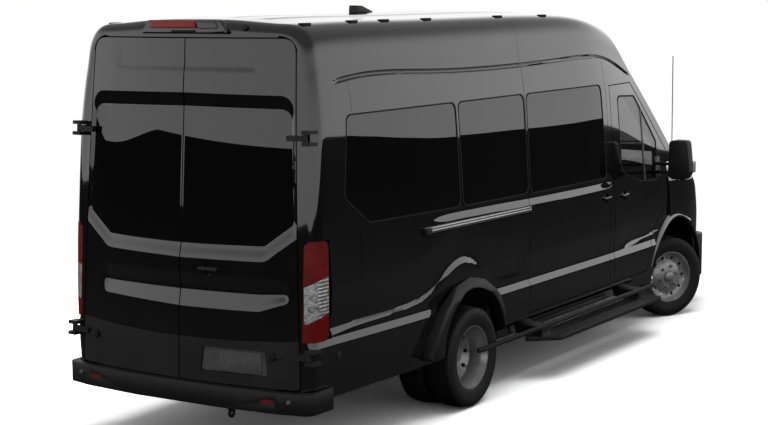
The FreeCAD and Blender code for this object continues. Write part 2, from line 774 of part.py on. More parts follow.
lug_start = barrel_half + lug_gap
lug_end = lug_start + lug_height
pin = Part.makeCylinder(hinge_pin_radius, 2 * lug_end, V(0, 0, -lug_end))
strap_block = box(-barrel_radius, hinge_depth, -strap_reach, -barrel_radius / 2, strap_drop - barrel_half,
                  barrel_half - strap_drop)
barrel = Part.makeCylinder(barrel_radius, 2 * barrel_half, V(0, 0, -barrel_half))
pin_bore = Part.makeCylinder(hinge_pin_radius + hinge_pin_clearance, 2 * lug_end, V(0, 0, -lug_end))
bracket = pin
for low in (-lug_end, lug_start):
    bracket = bracket.fuse(Part.makeCylinder(barrel_radius, lug_height, V(0, 0, low)))
    bracket = bracket.fuse(box(-barrel_radius, hinge_depth, -barrel_radius, arm_out, low, low + lug_height))
brackets = []
straps = []
door_face = rear_prism(0)
clear_face = rear_prism(-clear_gap)
for middle in (hinge_foot, hinge_head):
    brackets.append(on_hinge(bracket, middle).cut(outer))
    block = on_hinge(strap_block, middle)
    strap = block.cut(clear_face).fuse(block.common(leaf_zone).cut(door_face))
    straps.append(largest(strap.fuse(on_hinge(barrel, middle)).cut(on_hinge(pin_bore, middle))))
save("hinge_brackets", *(brackets + [mirrored(bracket) for bracket in brackets]))
save("hinge_straps_left", *straps)
save("hinge_straps_right", *[mirrored(strap) for strap in straps])

# Floor with wheelhouses, footwell and firewall
cabin = body_skin(wall + seat_gap)
floor_low_z = floor_top_z - floor_thickness
wheelhouse_radius = 445
wheelhouse_wall = 12
floor_front_x = 1700
firewall_x = 2140
firewall_high_z = 1340
footwell_half = 560
footwell_low = ((1700, 650), (1960, 650), (2140, 880), (2140, 1340))
footwell_high = ((2116, 1340), (2116, 890), (1945, 700), (1700, 700))
sheet_wall = 24
box_top_z = 1060
floor = box(rear_end_x, floor_front_x, -far_out, far_out, floor_low_z, floor_top_z)
house_out = cylinder_y(rear_axle_x, rear_arch_z, wheelhouse_radius, -far_out, -footwell_half)
house_in = cylinder_y(rear_axle_x, rear_arch_z, wheelhouse_radius - wheelhouse_wall, -far_out,
                      -footwell_half - wheelhouse_wall)
house = house_out.common(box(rear_end_x, front_end_x, -far_out, 0, floor_low_z, roof_height))
floor = floor.fuse(house).fuse(mirrored(house))
for side in (-1, 1):
    in_y = side * (footwell_half - sheet_wall)
    out_y = side * far_out
    behind_x = floor_front_x - sheet_wall
    lid_low_z = box_top_z - sheet_wall
    floor = floor.fuse(spread_box(behind_x, floor_front_x, in_y, out_y, floor_low_z, box_top_z))
    floor = floor.fuse(spread_box(behind_x, firewall_x, in_y, out_y, lid_low_z, box_top_z))
    floor = floor.fuse(spread_box(firewall_x - sheet_wall, firewall_x, in_y, out_y, lid_low_z, firewall_high_z))
    floor = floor.fuse(spread_box(behind_x, firewall_x, in_y, side * footwell_half, floor_low_z, box_top_z))
footwell = side_prism(footwell_low + footwell_high, 0, -footwell_half, footwell_half)
floor = floor.fuse(footwell).common(cabin).cut(house_in).cut(mirrored(house_in))
save("floor", floor)

# Chassis: two box rails with crossmembers between them, and the fuel tank on the left rail
rail_high_z = floor_low_z
rail_out = chassis_half + rail_width / 2
rail_in = chassis_half - rail_width / 2
rail_wall = 6
rail_rear_x = -3152
rail_front_x = bumper_rear_x - seat_gap
member_length = 80
member_low_z = 510
member_high_z = 620
member_places = (-3092, -2350, -700, 100, 900, 1650, rail_front_x - member_length)
tank_outline = ((-300, 500), (-300, 860), (700, 860), (700, 500))
tank_low_z = 380
tank_high_z = 610
tank_radius = 70
rail = box(rail_rear_x, rail_front_x, rail_in, rail_out, rail_low_z, rail_high_z)
rail = rail.cut(box(rail_rear_x - overrun, rail_front_x + overrun, rail_in + rail_wall, rail_out - rail_wall,
                    rail_low_z + rail_wall, rail_high_z - rail_wall))
chassis = rail.fuse(mirrored(rail))
for place in member_places:
    chassis = chassis.fuse(box(place, place + member_length, -rail_in, rail_in, member_low_z, member_high_z))
tank = plan_prism(tank_outline, tank_radius, tank_low_z, tank_high_z)
tank = tank.cut(box(rear_end_x, front_end_x, 0, rail_out - rail_wall / 2, 0, roof_height))
save("chassis_rails", chassis.fuse(tank))

# Engine: one plain block between the rails, with the gearbox behind it
engine_rear_x = 2330
engine_front_x = 2770
engine_low_z = 520
engine_high_z = 1100
engine_side_gap = 40
engine_half = rail_in - engine_side_gap
gearbox_rear_x = 1880
gearbox_half = 110
gearbox_low_z = 385
gearbox_high_z = 630
mount_length = 60
mount_x = (engine_rear_x + engine_front_x) / 2
engine = box(engine_rear_x, engine_front_x, -engine_half, engine_half, engine_low_z, engine_high_z)
engine = engine.fuse(box(gearbox_rear_x, engine_rear_x, -gearbox_half, gearbox_half, gearbox_low_z, gearbox_high_z))
engine = engine.fuse(box(mount_x, mount_x + mount_length, -rail_in, rail_in, engine_low_z, engine_low_z + mount_length))
save("engine", engine)

# Wheels
spindle_radius = 24
spindle_clearance = 0.05
disc_thickness = 12
front_disc_offset = 42
front_dish = 14
front_vent = -6
rear_disc_offset = 48
ring_skin = 8
ring_depth = 24
wheel_holes = 10
wheel_hole_radius = 15
wheel_hole_sides = 12
tyre_sides = 44
bead_rise = 45
shoulder_drop = 30
tread_drop = 8
barrel = rim_radius - ring_depth


def tyre_shape(middle_y):
    half = tyre_width / 2
    bead = rim_radius + seat_gap
    waist = (bead + tyre_radius) / 2
    side = [(half * 0.86, bead), (half * 0.96, bead + bead_rise), (half, waist),
            (half * 0.93, tyre_radius - shoulder_drop), (half * 0.80, tyre_radius - tread_drop)]
    profile = [(middle_y + y, r) for y, r in side] + [(middle_y - y, r) for y, r in reversed(side)]
    profile.insert(len(side), (middle_y, tyre_radius))
    return faceted_ring(profile, tyre_sides)


def rim_shape(middle_y, disc_offset, dish, vent):
    """A rim whose disc meets the barrel disc_offset outboard of its middle.

    The hub face stands dish further out, and the ring with the holes stands vent further out.
    """
    half = rim_width / 2
    edge = half + ring_skin
    under = barrel - ring_skin
    ring = [
        (-edge, rim_radius - ring_skin), (-edge, rim_radius), (-half * 0.6, barrel + ring_skin), (-half * 0.45, barrel),
        (half * 0.6, barrel), (half * 0.75, barrel + ring_skin), (edge, rim_radius), (edge, rim_radius - ring_skin),
        (half * 0.65, under), (-half * 0.5, under),
    ]
    ring = revolved([(middle_y + y, r) for y, r in ring])
    face_y = middle_y - disc_offset
    bore = spindle_radius + spindle_clearance
    bulge = face_y - dish
    disc = [
        (face_y, barrel - ring_skin / 2), (face_y - vent, barrel * 0.78), (bulge, barrel * 0.60),
        (bulge, bore), (bulge + disc_thickness * 2, bore), (bulge + disc_thickness, hub_radius),
        (bulge + disc_thickness, barrel * 0.58), (face_y - vent + disc_thickness, barrel * 0.76),
        (face_y + disc_thickness, barrel - ring_skin / 2),
    ]
    plate = revolved(disc)
    for i in range(wheel_holes):
        angle = 2 * math.pi * i / wheel_holes
        reach = barrel * 0.84
        corners = []
        for j in range(wheel_hole_sides):
            turn = 2 * math.pi * j / wheel_hole_sides
            corners.append((math.cos(angle) * reach + math.cos(turn) * wheel_hole_radius,
                            math.sin(angle) * reach + math.sin(turn) * wheel_hole_radius))
        plate = plate.cut(side_prism(corners, 0, face_y - rim_width / 2, face_y + rim_width / 2))
    return ring.fuse(plate)


def steered(shape, angle, side):
    """Turned about the kingpin to the right by the angle, in degrees; side is -1 on the right."""
    turned = shape.copy()
    turned.rotate(V(front_axle_x, side * (front_track_half - kingpin_inset), 0), V(0, 0, 1), -angle)
    return turned


front_rim = placed(rim_shape(-front_track_half, front_disc_offset, front_dish, front_vent), front_axle_x, tyre_radius)
front_tyre = placed(tyre_shape(-front_track_half), front_axle_x, tyre_radius)
save("rim_front_right", steered(front_rim, steer_right_deg, -1))
save("tyre_front_right", steered(front_tyre, steer_right_deg, -1))
save("rim_front_left", steered(mirrored(front_rim), steer_left_deg, 1))
save("tyre_front_left", steered(mirrored(front_tyre), steer_left_deg, 1))

twin_in_y = rear_outer_y - twin_spacing
disc_gap = twin_spacing / 2
rear_dish = disc_gap - rear_disc_offset
outer_rim = rim_shape(-rear_outer_y, -rear_disc_offset, disc_thickness - rear_dish, (disc_thickness - rear_dish) / 2)
inner_rim = rim_shape(-twin_in_y, rear_disc_offset, rear_dish, rear_dish / 2)
rear_rims = placed(outer_rim.fuse(inner_rim), rear_axle_x, tyre_radius)
save("rims_rear_right", rear_rims)
save("rims_rear_left", mirrored(rear_rims))
rear_tyres = [placed(tyre_shape(-middle), rear_axle_x, tyre_radius) for middle in (rear_outer_y, twin_in_y)]
save("tyres_rear_right", *rear_tyres)
save("tyres_rear_left", *[mirrored(tyre) for tyre in rear_tyres])

# Knuckles: an upright inside the rim with a spindle for the wheel and pins for the arms
kingpin_y = front_track_half - kingpin_inset
upright_radius = 26
ball_radius = 12
arm_height = 118
arm_thickness = 22
upright_half = arm_height - arm_thickness / 2 - lug_gap
pin_half = arm_height + arm_thickness / 2 + lug_gap
upright = Part.makeCylinder(upright_radius, 2 * upright_half, V(front_axle_x, -kingpin_y, tyre_radius - upright_half))
upright = upright.fuse(Part.makeCylinder(ball_radius, 2 * pin_half, V(front_axle_x, -kingpin_y, tyre_radius - pin_half)))
spindle_end_y = -front_track_half - front_disc_offset - front_dish
upright = upright.fuse(cylinder_y(front_axle_x, tyre_radius, spindle_radius, spindle_end_y, -kingpin_y))
save("knuckle_right", steered(upright, steer_right_deg, -1))
save("knuckle_left", steered(mirrored(upright), steer_left_deg, 1))

# Front suspension: crossmember, towers and four arms whose eyes carry the knuckles' pins
eye_radius = 24
tower_half = 60
crossmember_low_z = 190
crossmember_high_z = 262
tower_rear_x = front_axle_x - tower_half
tower_front_x = front_axle_x + tower_half
front_suspension = box(tower_rear_x, tower_front_x, -rail_out, rail_out, crossmember_low_z, crossmember_high_z)
for side in (-1, 1):
    eye_y = side * kingpin_y
    tower = spread_box(tower_rear_x, tower_front_x, side * rail_in, side * rail_out, crossmember_low_z, rail_low_z)
    front_suspension = front_suspension.fuse(tower)
    for end in (-1, 1):
        low = tyre_radius + end * arm_height - arm_thickness / 2
        arm = spread_box(front_axle_x - eye_radius, front_axle_x + eye_radius, side * rail_out, eye_y,
                         low, low + arm_thickness)
        eye = Part.makeCylinder(eye_radius, arm_thickness, V(front_axle_x, eye_y, low))
        bore = Part.makeCylinder(ball_radius + spindle_clearance, arm_thickness + overrun,
                                 V(front_axle_x, eye_y, low - overrun / 2))
        front_suspension = front_suspension.fuse(arm.fuse(eye).cut(bore))
save("front_suspension", front_suspension)

# Rear axle with its shaft, and the leaf springs that carry it
axle_tube_radius = 45
axle_end_gap = 20
diff_radius = 150
shaft_radius = 38
shaft_rise = 0.03
tube_end_y = twin_in_y - rim_width / 2 - axle_end_gap
stub_end_y = twin_in_y + disc_gap
rear_axle = cylinder_y(rear_axle_x, tyre_radius, axle_tube_radius, -tube_end_y, tube_end_y)
rear_axle = rear_axle.fuse(cylinder_y(rear_axle_x, tyre_radius, spindle_radius, -stub_end_y, stub_end_y))
rear_axle = rear_axle.fuse(Part.makeSphere(diff_radius, V(rear_axle_x, 0, tyre_radius)))
shaft_length = (gearbox_rear_x - rear_axle_x) * math.hypot(1, shaft_rise)
shaft = Part.makeCylinder(shaft_radius, shaft_length, V(rear_axle_x, 0, tyre_radius), V(1, 0, shaft_rise))
save("rear_axle", largest(rear_axle.fuse(shaft).cut(engine)))
spring_half = 700
spring_thickness = 34
spring_low_z = tyre_radius + axle_tube_radius
spring_end_z = rail_low_z - spring_thickness
lower = [V(rear_axle_x - spring_half, rail_in, spring_end_z), V(rear_axle_x, rail_in, spring_low_z),
         V(rear_axle_x + spring_half, rail_in, spring_end_z)]
upper = [V(p.x, p.y, p.z + spring_thickness) for p in reversed(lower)]
edges = [Part.Arc(*lower).toShape(), Part.LineSegment(lower[2], upper[0]).toShape(), Part.Arc(*upper).toShape(),
         Part.LineSegment(upper[2], lower[0]).toShape()]
spring = Part.Face(Part.Wire(edges)).extrude(V(0, rail_width, 0))
save("leaf_springs", spring, mirrored(spring))

# Mirrors on the front doors: an arm with two tubes, and a tall rounded head
mirror_face = ((-1373, 1350), (-1343, 1610), (-1190, 1610), (-1180, 1310), (-1220, 1290), (-1333, 1290))
mirror_plan = ((1600, -1413), (1600, -1140), (1710, -1140), (1730, -1240), (1690, -1363), (1630, -1413))
mirror_rear_x = 1600
mirror_front_x = 1730
mirror_radius = 32
mirror_plan_radius = 20
mirror_arms = ((1340, 1310), (1410, 1380))
mirror_root_y = -1220
mirror_foot_y = -907
mirror_foot_x = 1900
mirror_foot_rear_x = 1850
mirror_foot_front_x = 1960
mirror_foot_low_z = 1270
mirror_foot_high_z = 1440
mirror_foot_in_y = -857
arm_radius = 14
mirror = end_prism(mirror_face, mirror_radius, mirror_rear_x, mirror_front_x)
mirror = mirror.common(plan_prism(mirror_plan, mirror_plan_radius, 0, roof_height))
for head_z, foot_z in mirror_arms:
    start = V((mirror_rear_x + mirror_front_x) / 2, mirror_root_y, head_z)
    run = V(mirror_foot_x, mirror_foot_y, foot_z) - start
    mirror = mirror.fuse(Part.makeCylinder(arm_radius, run.Length, start, run))
mirror_foot = box(mirror_foot_rear_x, mirror_foot_front_x, -far_out, mirror_foot_in_y, mirror_foot_low_z,
                  mirror_foot_high_z).common(proud_skin)
mirror = largest(mirror.fuse(mirror_foot).cut(outer))
save("mirror_right", mirror)
save("mirror_left", mirrored(mirror))

# Arch flares over the twin rear wheels
flare_out_y = 1063
flare_radius = 60
flare_reach = 700
flare_ring = (
    (-1998, 430), (-1998, 452), (-1961, 560), (-1821, 740), (-1621, 868), (-1421, 905), (-1231, 868), (-1071, 740),
    (-997, 600), (-997, 430),
)
flare_slant = ((-1063, 390), (-1063, 780), (-988, 960), (0, 960), (0, 390))
flare = side_prism(flare_ring, flare_radius, -flare_out_y, -side_in)
flare = flare.cut(cylinder_y(rear_axle_x, rear_arch_z, rear_arch_radius, -far_out - overrun, 0))
flare = flare.cut(box(rear_axle_x - rear_arch_radius, rear_axle_x + rear_arch_radius, -far_out - overrun, 0,
                      sill_height - overrun, rear_arch_z))
flare = flare.common(end_prism(flare_slant, 0, rear_axle_x - flare_reach, rear_axle_x + flare_reach))
flare = largest(flare.cut(outer))
save("rear_flares", flare, mirrored(flare))

# Running boards: a ribbed tread on two pads, and a slim bar that runs back to the rear wheel
board_outline = ((-560, -985), (-560, -1010), (-400, -1205), (1440, -1205), (1560, -1015), (1560, -985))
board_low_z = 300
board_high_z = 332
board_radius = 12
bar_low_z = 385
bar_high_z = 415
bar_in_y = 1070
bar_out_y = 1095
bar_rear_x = -1430
bar_front_x = 1560
pad_places = (-500, 1230)
pad_length = 150
pad_in_y = 955
pad_low_z = 322
pad_high_z = 407
bracket_inset = 30
bracket_length = 80
bracket_out_y = 995
bracket_high_z = 362
bracket_width = 60
bracket_top_z = 530
rib_count = 5
rib_rear_x = -330
rib_front_x = 1210
rib_out_y = 1195
rib_pitch = 20
rib_width = 8
rib_height = 4
boards = plan_prism(board_outline, board_radius, board_low_z, board_high_z)
boards = boards.fuse(box(bar_rear_x, bar_front_x, -bar_out_y, -bar_in_y, bar_low_z, bar_high_z))
for place in pad_places:
    bracket_rear_x = place + bracket_inset
    bracket_front_x = bracket_rear_x + bracket_length
    boards = boards.fuse(box(place, place + pad_length, -bar_out_y, -pad_in_y, pad_low_z, pad_high_z))
    boards = boards.fuse(box(bracket_rear_x, bracket_front_x, -bracket_out_y, -rail_out, board_high_z, bracket_high_z))
    boards = boards.fuse(box(bracket_rear_x, bracket_front_x, -rail_out - bracket_width, -rail_out, board_high_z,
                             bracket_top_z))
for i in range(rib_count):
    rib_y = rib_pitch * i - rib_out_y
    boards = boards.fuse(box(rib_rear_x, rib_front_x, rib_y, rib_y + rib_width, board_high_z, board_high_z + rib_height))
save("running_boards", boards, mirrored(boards))

# Sliding door's rail, aerial mast and roof fin
track_outline = ((-1990, 1275), (-1990, 1312), (-515, 1292), (-515, 1255))
mast_x = 2686
mast_y = -760
mast_top_z = 2260
mast_radius = 4
mast_base_z = 1230
mast_base_radius = 22
mast_neck_radius = 10
mast_base_height = 70
fin_outline = ((-1313, 2680), (-1303, 2752), (-1223, 2748), (-1093, 2708), (-1093, 2680))
fin_half = 32
track = right_prism(track_outline, 0).common(proud_skin).cut(outer)
save("door_track", track)
mast_base = V(mast_x, mast_y, mast_base_z)
mast = Part.makeCylinder(mast_radius, mast_top_z - mast_base_z, mast_base)
mast = mast.fuse(Part.makeCone(mast_base_radius, mast_neck_radius, mast_base_height, mast_base))
save("aerial_mast", largest(mast.cut(front_outer)))
save("roof_fin", side_prism(fin_outline, 0, -fin_half, fin_half).cut(outer))

# Dashboard and steering wheel
dash_outline = ((1960, 1060.3), (2115.7, 1060.3), (2115.7, 1330), (1930, 1330), (1800, 1250), (1860, 1110))
dash_half = 880
steer_x = 1690
steer_y = 480
steer_z = 1300
steer_axis = V(-0.75, 0, 0.66)
steer_radius = 190
steer_rim_radius = 16
steer_sides = 32
steer_rim_sides = 8
column_radius = 24
column_length = 260
column_start = 7
spoke_half = 12
spoke_depth = 18
dash = side_prism(dash_outline, 0, -dash_half, dash_half)
save("dashboard", dash.common(cabin))
wheel_centre = V(steer_x, steer_y, steer_z)
rim_turns = [2 * math.pi * i / steer_rim_sides for i in range(steer_rim_sides)]
steer_ring = faceted_ring([(math.sin(turn) * steer_rim_radius, steer_radius + math.cos(turn) * steer_rim_radius)
                           for turn in rim_turns], steer_sides)
steer_ring.rotate(V(0, 0, 0), V(0, 1, 0).cross(steer_axis), math.degrees(V(0, 1, 0).getAngle(steer_axis)))
steer_ring.translate(wheel_centre)
steering_wheel = Part.makeCylinder(column_radius, column_length, wheel_centre - steer_axis * column_start, steer_axis * -1)
steering_wheel = steering_wheel.fuse(box(steer_x - spoke_half, steer_x + spoke_half, steer_y - steer_radius,
                                         steer_y + steer_radius, steer_z - spoke_depth, steer_z + spoke_depth))
save("steering_wheel", largest(steering_wheel.fuse(steer_ring).cut(dash)))

# Seats: a pedestal, a cushion and a leaning back with a head restraint
seat_half = 240
seat_rear = -250
seat_front = 250
seat_height = 430
cushion = 120
leg_half = 60
leg_rear = -190
leg_front = 170
back_outline = ((-210, 310), (-120, 410), (-290, 960), (-380, 960))
rest_outline = ((-290, 930), (-305, 1130), (-375, 1130), (-375, 930))
rest_half = 140
seat_radius = 30
front_seat_x = 1330
front_seat_y = 520
row_places = (430, -370, -1170, -1970, -2600)
row_sides = (640, 130, -640)


def seat(x, y):
    low = floor_top_z + seat_gap
    foot_y = y - math.copysign(seat_half * 2 / 3, y)
    base = box(x + leg_rear, x + leg_front, foot_y - leg_half, foot_y + leg_half, low, low + seat_height - cushion)
    pad = box(x + seat_rear, x + seat_front, y - seat_half, y + seat_half, low + seat_height - cushion, low + seat_height)
    back = side_prism([(x + u, low + v) for u, v in back_outline], seat_radius, y - seat_half, y + seat_half)
    rest = side_prism([(x + u, low + v) for u, v in rest_outline], seat_radius, y - rest_half, y + rest_half)
    return base.fuse(pad).fuse(back).fuse(rest)


save("front_seats", seat(front_seat_x, front_seat_y), seat(front_seat_x, -front_seat_y))
save("passenger_seats", *[seat(x, y) for x in row_places for y in row_sides])

# Door handles: a grip over a dish
handle_half = 65
handle_radius = 11
handle_corner = 8
rear_grip_half = 70
rear_grip_out = 22


def handle(x, z):
    outline = [(x - handle_half, z - handle_radius), (x + handle_half, z - handle_radius),
               (x + handle_half, z + handle_radius), (x - handle_half, z + handle_radius)]
    return right_prism(outline, handle_corner).common(proud_skin).cut(outer)


front_handle = handle(front_handle_x, front_handle_z)
save("slide_door_handle", handle(slide_handle_x, slide_handle_z))
save("handle_front_right", front_handle)
save("handle_front_left", mirrored(front_handle))
rear_handle = end_prism([
    (rear_handle_y - rear_grip_half, rear_handle_z - handle_radius),
    (rear_handle_y + rear_grip_half, rear_handle_z - handle_radius),
    (rear_handle_y + rear_grip_half, rear_handle_z + handle_radius),
    (rear_handle_y - rear_grip_half, rear_handle_z + handle_radius),
], handle_corner, rear_end_x, rear_zone_x)
save("rear_door_handle", rear_handle.common(rear_prism(-rear_grip_out)).cut(outer))

# Exhaust: a silencer and pipes along the right rail
pipe_radius = 30
silencer_radius = 95
pipe_z = 380
pipe_y = -330
silencer_x = -200
silencer_length = 620
outlet_x = -650
outlet_end = V(-850, -760, pipe_z)
riser_x = 2420
hanger_x = 120
hanger_length = 30
hanger_half = 6
route = [outlet_end, V(outlet_x, pipe_y, pipe_z), V(riser_x, pipe_y, pipe_z), V(riser_x, pipe_y, engine_low_z)]
exhaust = Part.makeCylinder(silencer_radius, silencer_length, V(silencer_x, pipe_y, pipe_z), V(1, 0, 0))
for start, end in zip(route, route[1:]):
    exhaust = exhaust.fuse(Part.makeCylinder(pipe_radius, (end - start).Length, start, end - start))
for bend in route[1:3]:
    exhaust = exhaust.fuse(Part.makeSphere(pipe_radius, bend))
exhaust = exhaust.fuse(box(hanger_x, hanger_x + hanger_length, pipe_y - hanger_half, pipe_y + hanger_half, pipe_z,
                           member_low_z))
save("exhaust", exhaust)
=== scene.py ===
import math

import bmesh
import bpy
import numpy as np
from mathutils import Matrix, Vector


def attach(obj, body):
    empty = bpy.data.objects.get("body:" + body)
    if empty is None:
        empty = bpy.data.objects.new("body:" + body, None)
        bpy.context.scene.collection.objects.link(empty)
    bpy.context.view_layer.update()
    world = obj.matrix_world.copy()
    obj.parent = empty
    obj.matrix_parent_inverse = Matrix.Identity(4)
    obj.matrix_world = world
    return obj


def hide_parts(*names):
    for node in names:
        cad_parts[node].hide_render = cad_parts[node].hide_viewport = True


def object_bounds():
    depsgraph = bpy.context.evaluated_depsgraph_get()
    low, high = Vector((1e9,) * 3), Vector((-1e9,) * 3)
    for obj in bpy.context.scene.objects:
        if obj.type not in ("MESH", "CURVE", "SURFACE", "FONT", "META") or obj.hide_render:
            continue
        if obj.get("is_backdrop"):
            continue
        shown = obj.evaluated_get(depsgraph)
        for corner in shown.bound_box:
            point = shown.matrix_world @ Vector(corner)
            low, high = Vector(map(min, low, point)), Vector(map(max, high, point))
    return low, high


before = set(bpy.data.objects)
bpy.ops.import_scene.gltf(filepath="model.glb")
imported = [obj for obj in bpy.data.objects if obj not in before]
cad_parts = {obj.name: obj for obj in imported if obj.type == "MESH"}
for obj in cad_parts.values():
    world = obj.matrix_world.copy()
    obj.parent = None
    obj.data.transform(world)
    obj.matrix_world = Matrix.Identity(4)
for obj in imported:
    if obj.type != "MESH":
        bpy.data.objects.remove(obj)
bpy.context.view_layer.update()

# The viewpoint: a long lens nearly eight metres behind the vehicle, well to its right and nearly three
# metres up. The frame is +X forward, +Y left and +Z up, with the ground at zero.
scene = bpy.context.scene
scene.view_settings.view_transform = "Standard"
camera_place = Vector((-11.173, -6.539, 2.839))
camera_yaw = math.radians(32.52)
camera_pitch = math.radians(-7.54)
camera_roll = math.radians(-0.52)
camera_lens = 77.86

forward = Vector((math.cos(camera_pitch) * math.cos(camera_yaw),
                  math.cos(camera_pitch) * math.sin(camera_yaw), math.sin(camera_pitch)))
level_right = Vector((math.sin(camera_yaw), -math.cos(camera_yaw), 0))
level_up = level_right.cross(forward)
right = level_right * math.cos(camera_roll) + level_up * math.sin(camera_roll)
up = right.cross(forward)
camera = bpy.data.objects.new("camera", bpy.data.cameras.new("camera"))
scene.collection.objects.link(camera)
camera.data.lens = camera_lens
camera.data.sensor_width = 36
camera.data.clip_end = 200
turned = Matrix((right, up, -forward)).transposed().to_4x4()
camera.matrix_world = Matrix.Translation(camera_place) @ turned
scene.camera = camera

# The ground is a plain pale floor under an even white sky, with soft light from above. It looks white
# where nothing shades it, and reads as dark ground in the gloss of the paint, as a dim ceiling does
# above the bright walls.
floor_half = 60
floor_colour = (0.045, 0.045, 0.045)
floor_shade = 2.1
gloss_share = 0.008
soft_level = 0.38
dim_band = (0.12, 0.50)
dim_share = 0.72
plain_band = (5.0, 8.0)
light_place = Vector((-1, 0, 9))
light_aim = Vector((0, 0, 1))
light_size = (10, 8)
light_power = 720


class Value:
    """A shader socket that sums, products and comparisons can be written with."""

    def __init__(self, tree, socket):
        self.tree = tree
        self.socket = socket

    def math(self, operation, other=None):
        return self.tree.add("ShaderNodeMath", {"operation": operation}, self, other)

    def __add__(self, other):
        return self.math("ADD", other)

    def __sub__(self, other):
        return self.math("SUBTRACT", other)

    def __rsub__(self, other):
        return self.tree.add("ShaderNodeMath", {"operation": "SUBTRACT"}, other, self)

    def __mul__(self, other):
        return self.math("MULTIPLY", other)

    def __lt__(self, other):
        return self.math("LESS_THAN", other)

    def __gt__(self, other):
        return self.math("GREATER_THAN", other)

    def soft(self, low, high):
        """0 below low, 1 above high, smooth between."""
        smooth_step = {"interpolation_type": "SMOOTHSTEP"}
        return self.tree.add("ShaderNodeMapRange", smooth_step, self, low, high, 0.0, 1.0)


class Graph:
    """A node tree with one method that adds any node."""

    def __init__(self, owner):
        owner.use_nodes = True
        self.nodes = owner.node_tree.nodes
        self.links = owner.node_tree.links

    def feed(self, node, socket, value):
        if isinstance(value, Value):
            self.links.new(value.socket, node.inputs[socket])
        elif value is not None:
            node.inputs[socket].default_value = value

    def add(self, kind, settings, *values, output=0, **named):
        node = self.nodes.new(kind)
        for key, setting in settings.items():
            setattr(node, key, setting)
        for i, value in enumerate(values):
            self.feed(node, i, value)
        for socket, value in named.items():
            self.feed(node, socket.replace("_", " "), value)
        return Value(self, node.outputs[output])

    def place(self, output="Object"):
        return self.add("ShaderNodeTexCoord", {}, output=output)

    def axes(self, output="Object"):
        split = self.nodes.new("ShaderNodeSeparateXYZ")
        self.links.new(self.place(output).socket, split.inputs[0])
        return [Value(self, output) for output in split.outputs]

    def rays(self, kind):
        return self.add("ShaderNodeLightPath", {}, output="Is " + kind + " Ray")

    def mixed(self, factor, first, second):
        return self.add("ShaderNodeMixShader", {}, factor, first, second)


class Finish(Graph):
    """A material with a Principled shader."""

    def __init__(self, name, colour=None, **sockets):
        self.material = bpy.data.materials.new(name)
        super().__init__(self.material)
        self.shader = self.nodes["Principled BSDF"]
        if colour is not None:
            self.feed(self.shader, "Base Color", (*colour, 1))
        for socket, value in sockets.items():
            self.feed(self.shader, socket.replace("_", " "), value)

    def noise(self, scale, detail=3.0, roughness=0.5):
        return self.add("ShaderNodeTexNoise", {}, self.place(), Scale=scale, Detail=detail,
                        Roughness=roughness)

    def cells(self, scale):
        return self.add("ShaderNodeTexVoronoi", {"feature": "F1"}, self.place(), Scale=scale)

    def blend(self, factor, first, second):
        """One colour or socket to another by the factor."""
        node = self.nodes.new("ShaderNodeMix")
        node.data_type = "RGBA"
        for index, value in ((0, factor), (6, first), (7, second)):
            if isinstance(value, tuple):
                value = (*value, 1)
            self.feed(node, index, value)
        return Value(self, node.outputs[2])

    def set(self, socket, value):
        self.feed(self.shader, socket, value)

    def clouded(self, clouds, first, second, change, rough):
        """Two tones in the pattern of the clouds, and a roughness that changes with them."""
        self.set("Base Color", self.blend(clouds, first, second))
        self.set("Roughness", clouds * change + rough)

    def bump(self, height, distance, strength=1.0):
        bump = self.add("ShaderNodeBump", {}, Strength=strength, Distance=distance, Height=height)
        self.set("Normal", bump)

    def faceted(self, scale, first, second, rough):
        """A moulded lens, whose tones, roughness and relief follow small cells."""
        facets = self.cells(scale)
        self.set("Base Color", self.blend(facets.soft(0.1, 0.6), first, second))
        self.set("Roughness", facets * 0.2 + rough)
        self.bump(facets, 0.001, 0.5)


plane = bmesh.new()
bmesh.ops.create_grid(plane, x_segments=1, y_segments=1, size=floor_half)
floor_mesh = bpy.data.meshes.new("floor_plane")
plane.to_mesh(floor_mesh)
plane.free()
ground = bpy.data.objects.new("ground", floor_mesh)
scene.collection.objects.link(ground)
ground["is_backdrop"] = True
ground_finish = Finish("ground", colour=floor_colour, Roughness=0.95)
ground_finish.set("Specular IOR Level", 0.0)
gloss = ground_finish.rays("Glossy") * gloss_share
seen = ground_finish.rays("Camera") + ground_finish.rays("Transmission") + gloss
dark_floor = Value(ground_finish, ground_finish.shader.outputs[0])
pale_floor = ground_finish.add("ShaderNodeBsdfDiffuse", {}, (floor_shade, floor_shade, floor_shade, 1))
near_floor = ground_finish.mixed(seen, dark_floor, pale_floor)
# Past the vehicle's shadow the camera sees plain white
x, y, z = ground_finish.axes()
away = (x * x + y * y).math("SQRT").soft(*plain_band) * ground_finish.rays("Camera")
whole_floor = ground_finish.mixed(away, near_floor, ground_finish.add("ShaderNodeEmission", {}))
ground_finish.feed(ground_finish.nodes["Material Output"], "Surface", whole_floor)
floor_mesh.materials.append(ground_finish.material)

world = bpy.data.worlds.new("world")
scene.world = world
sky = Graph(world)
glossy = sky.rays("Glossy")
overhead = 1 - sky.axes("Generated")[2].soft(*dim_band) * dim_share
shown = sky.rays("Camera").math("MAXIMUM", glossy * overhead)
sky.feed(sky.nodes["Background"], "Strength", shown.math("MAXIMUM", (1 - glossy) * soft_level))
sky.feed(sky.nodes["Background"], "Color", (1, 1, 1, 1))

lamp = bpy.data.lights.new("top_light", "AREA")
lamp.shape = "RECTANGLE"
lamp.size, lamp.size_y = light_size
lamp.energy = light_power
top_light = bpy.data.objects.new("top_light", lamp)
scene.collection.objects.link(top_light)
top_light.location = light_place
top_light.rotation_mode = "QUATERNION"
top_light.rotation_quaternion = (light_aim - light_place).to_track_quat("-Z", "Y")
top_light.visible_glossy = False


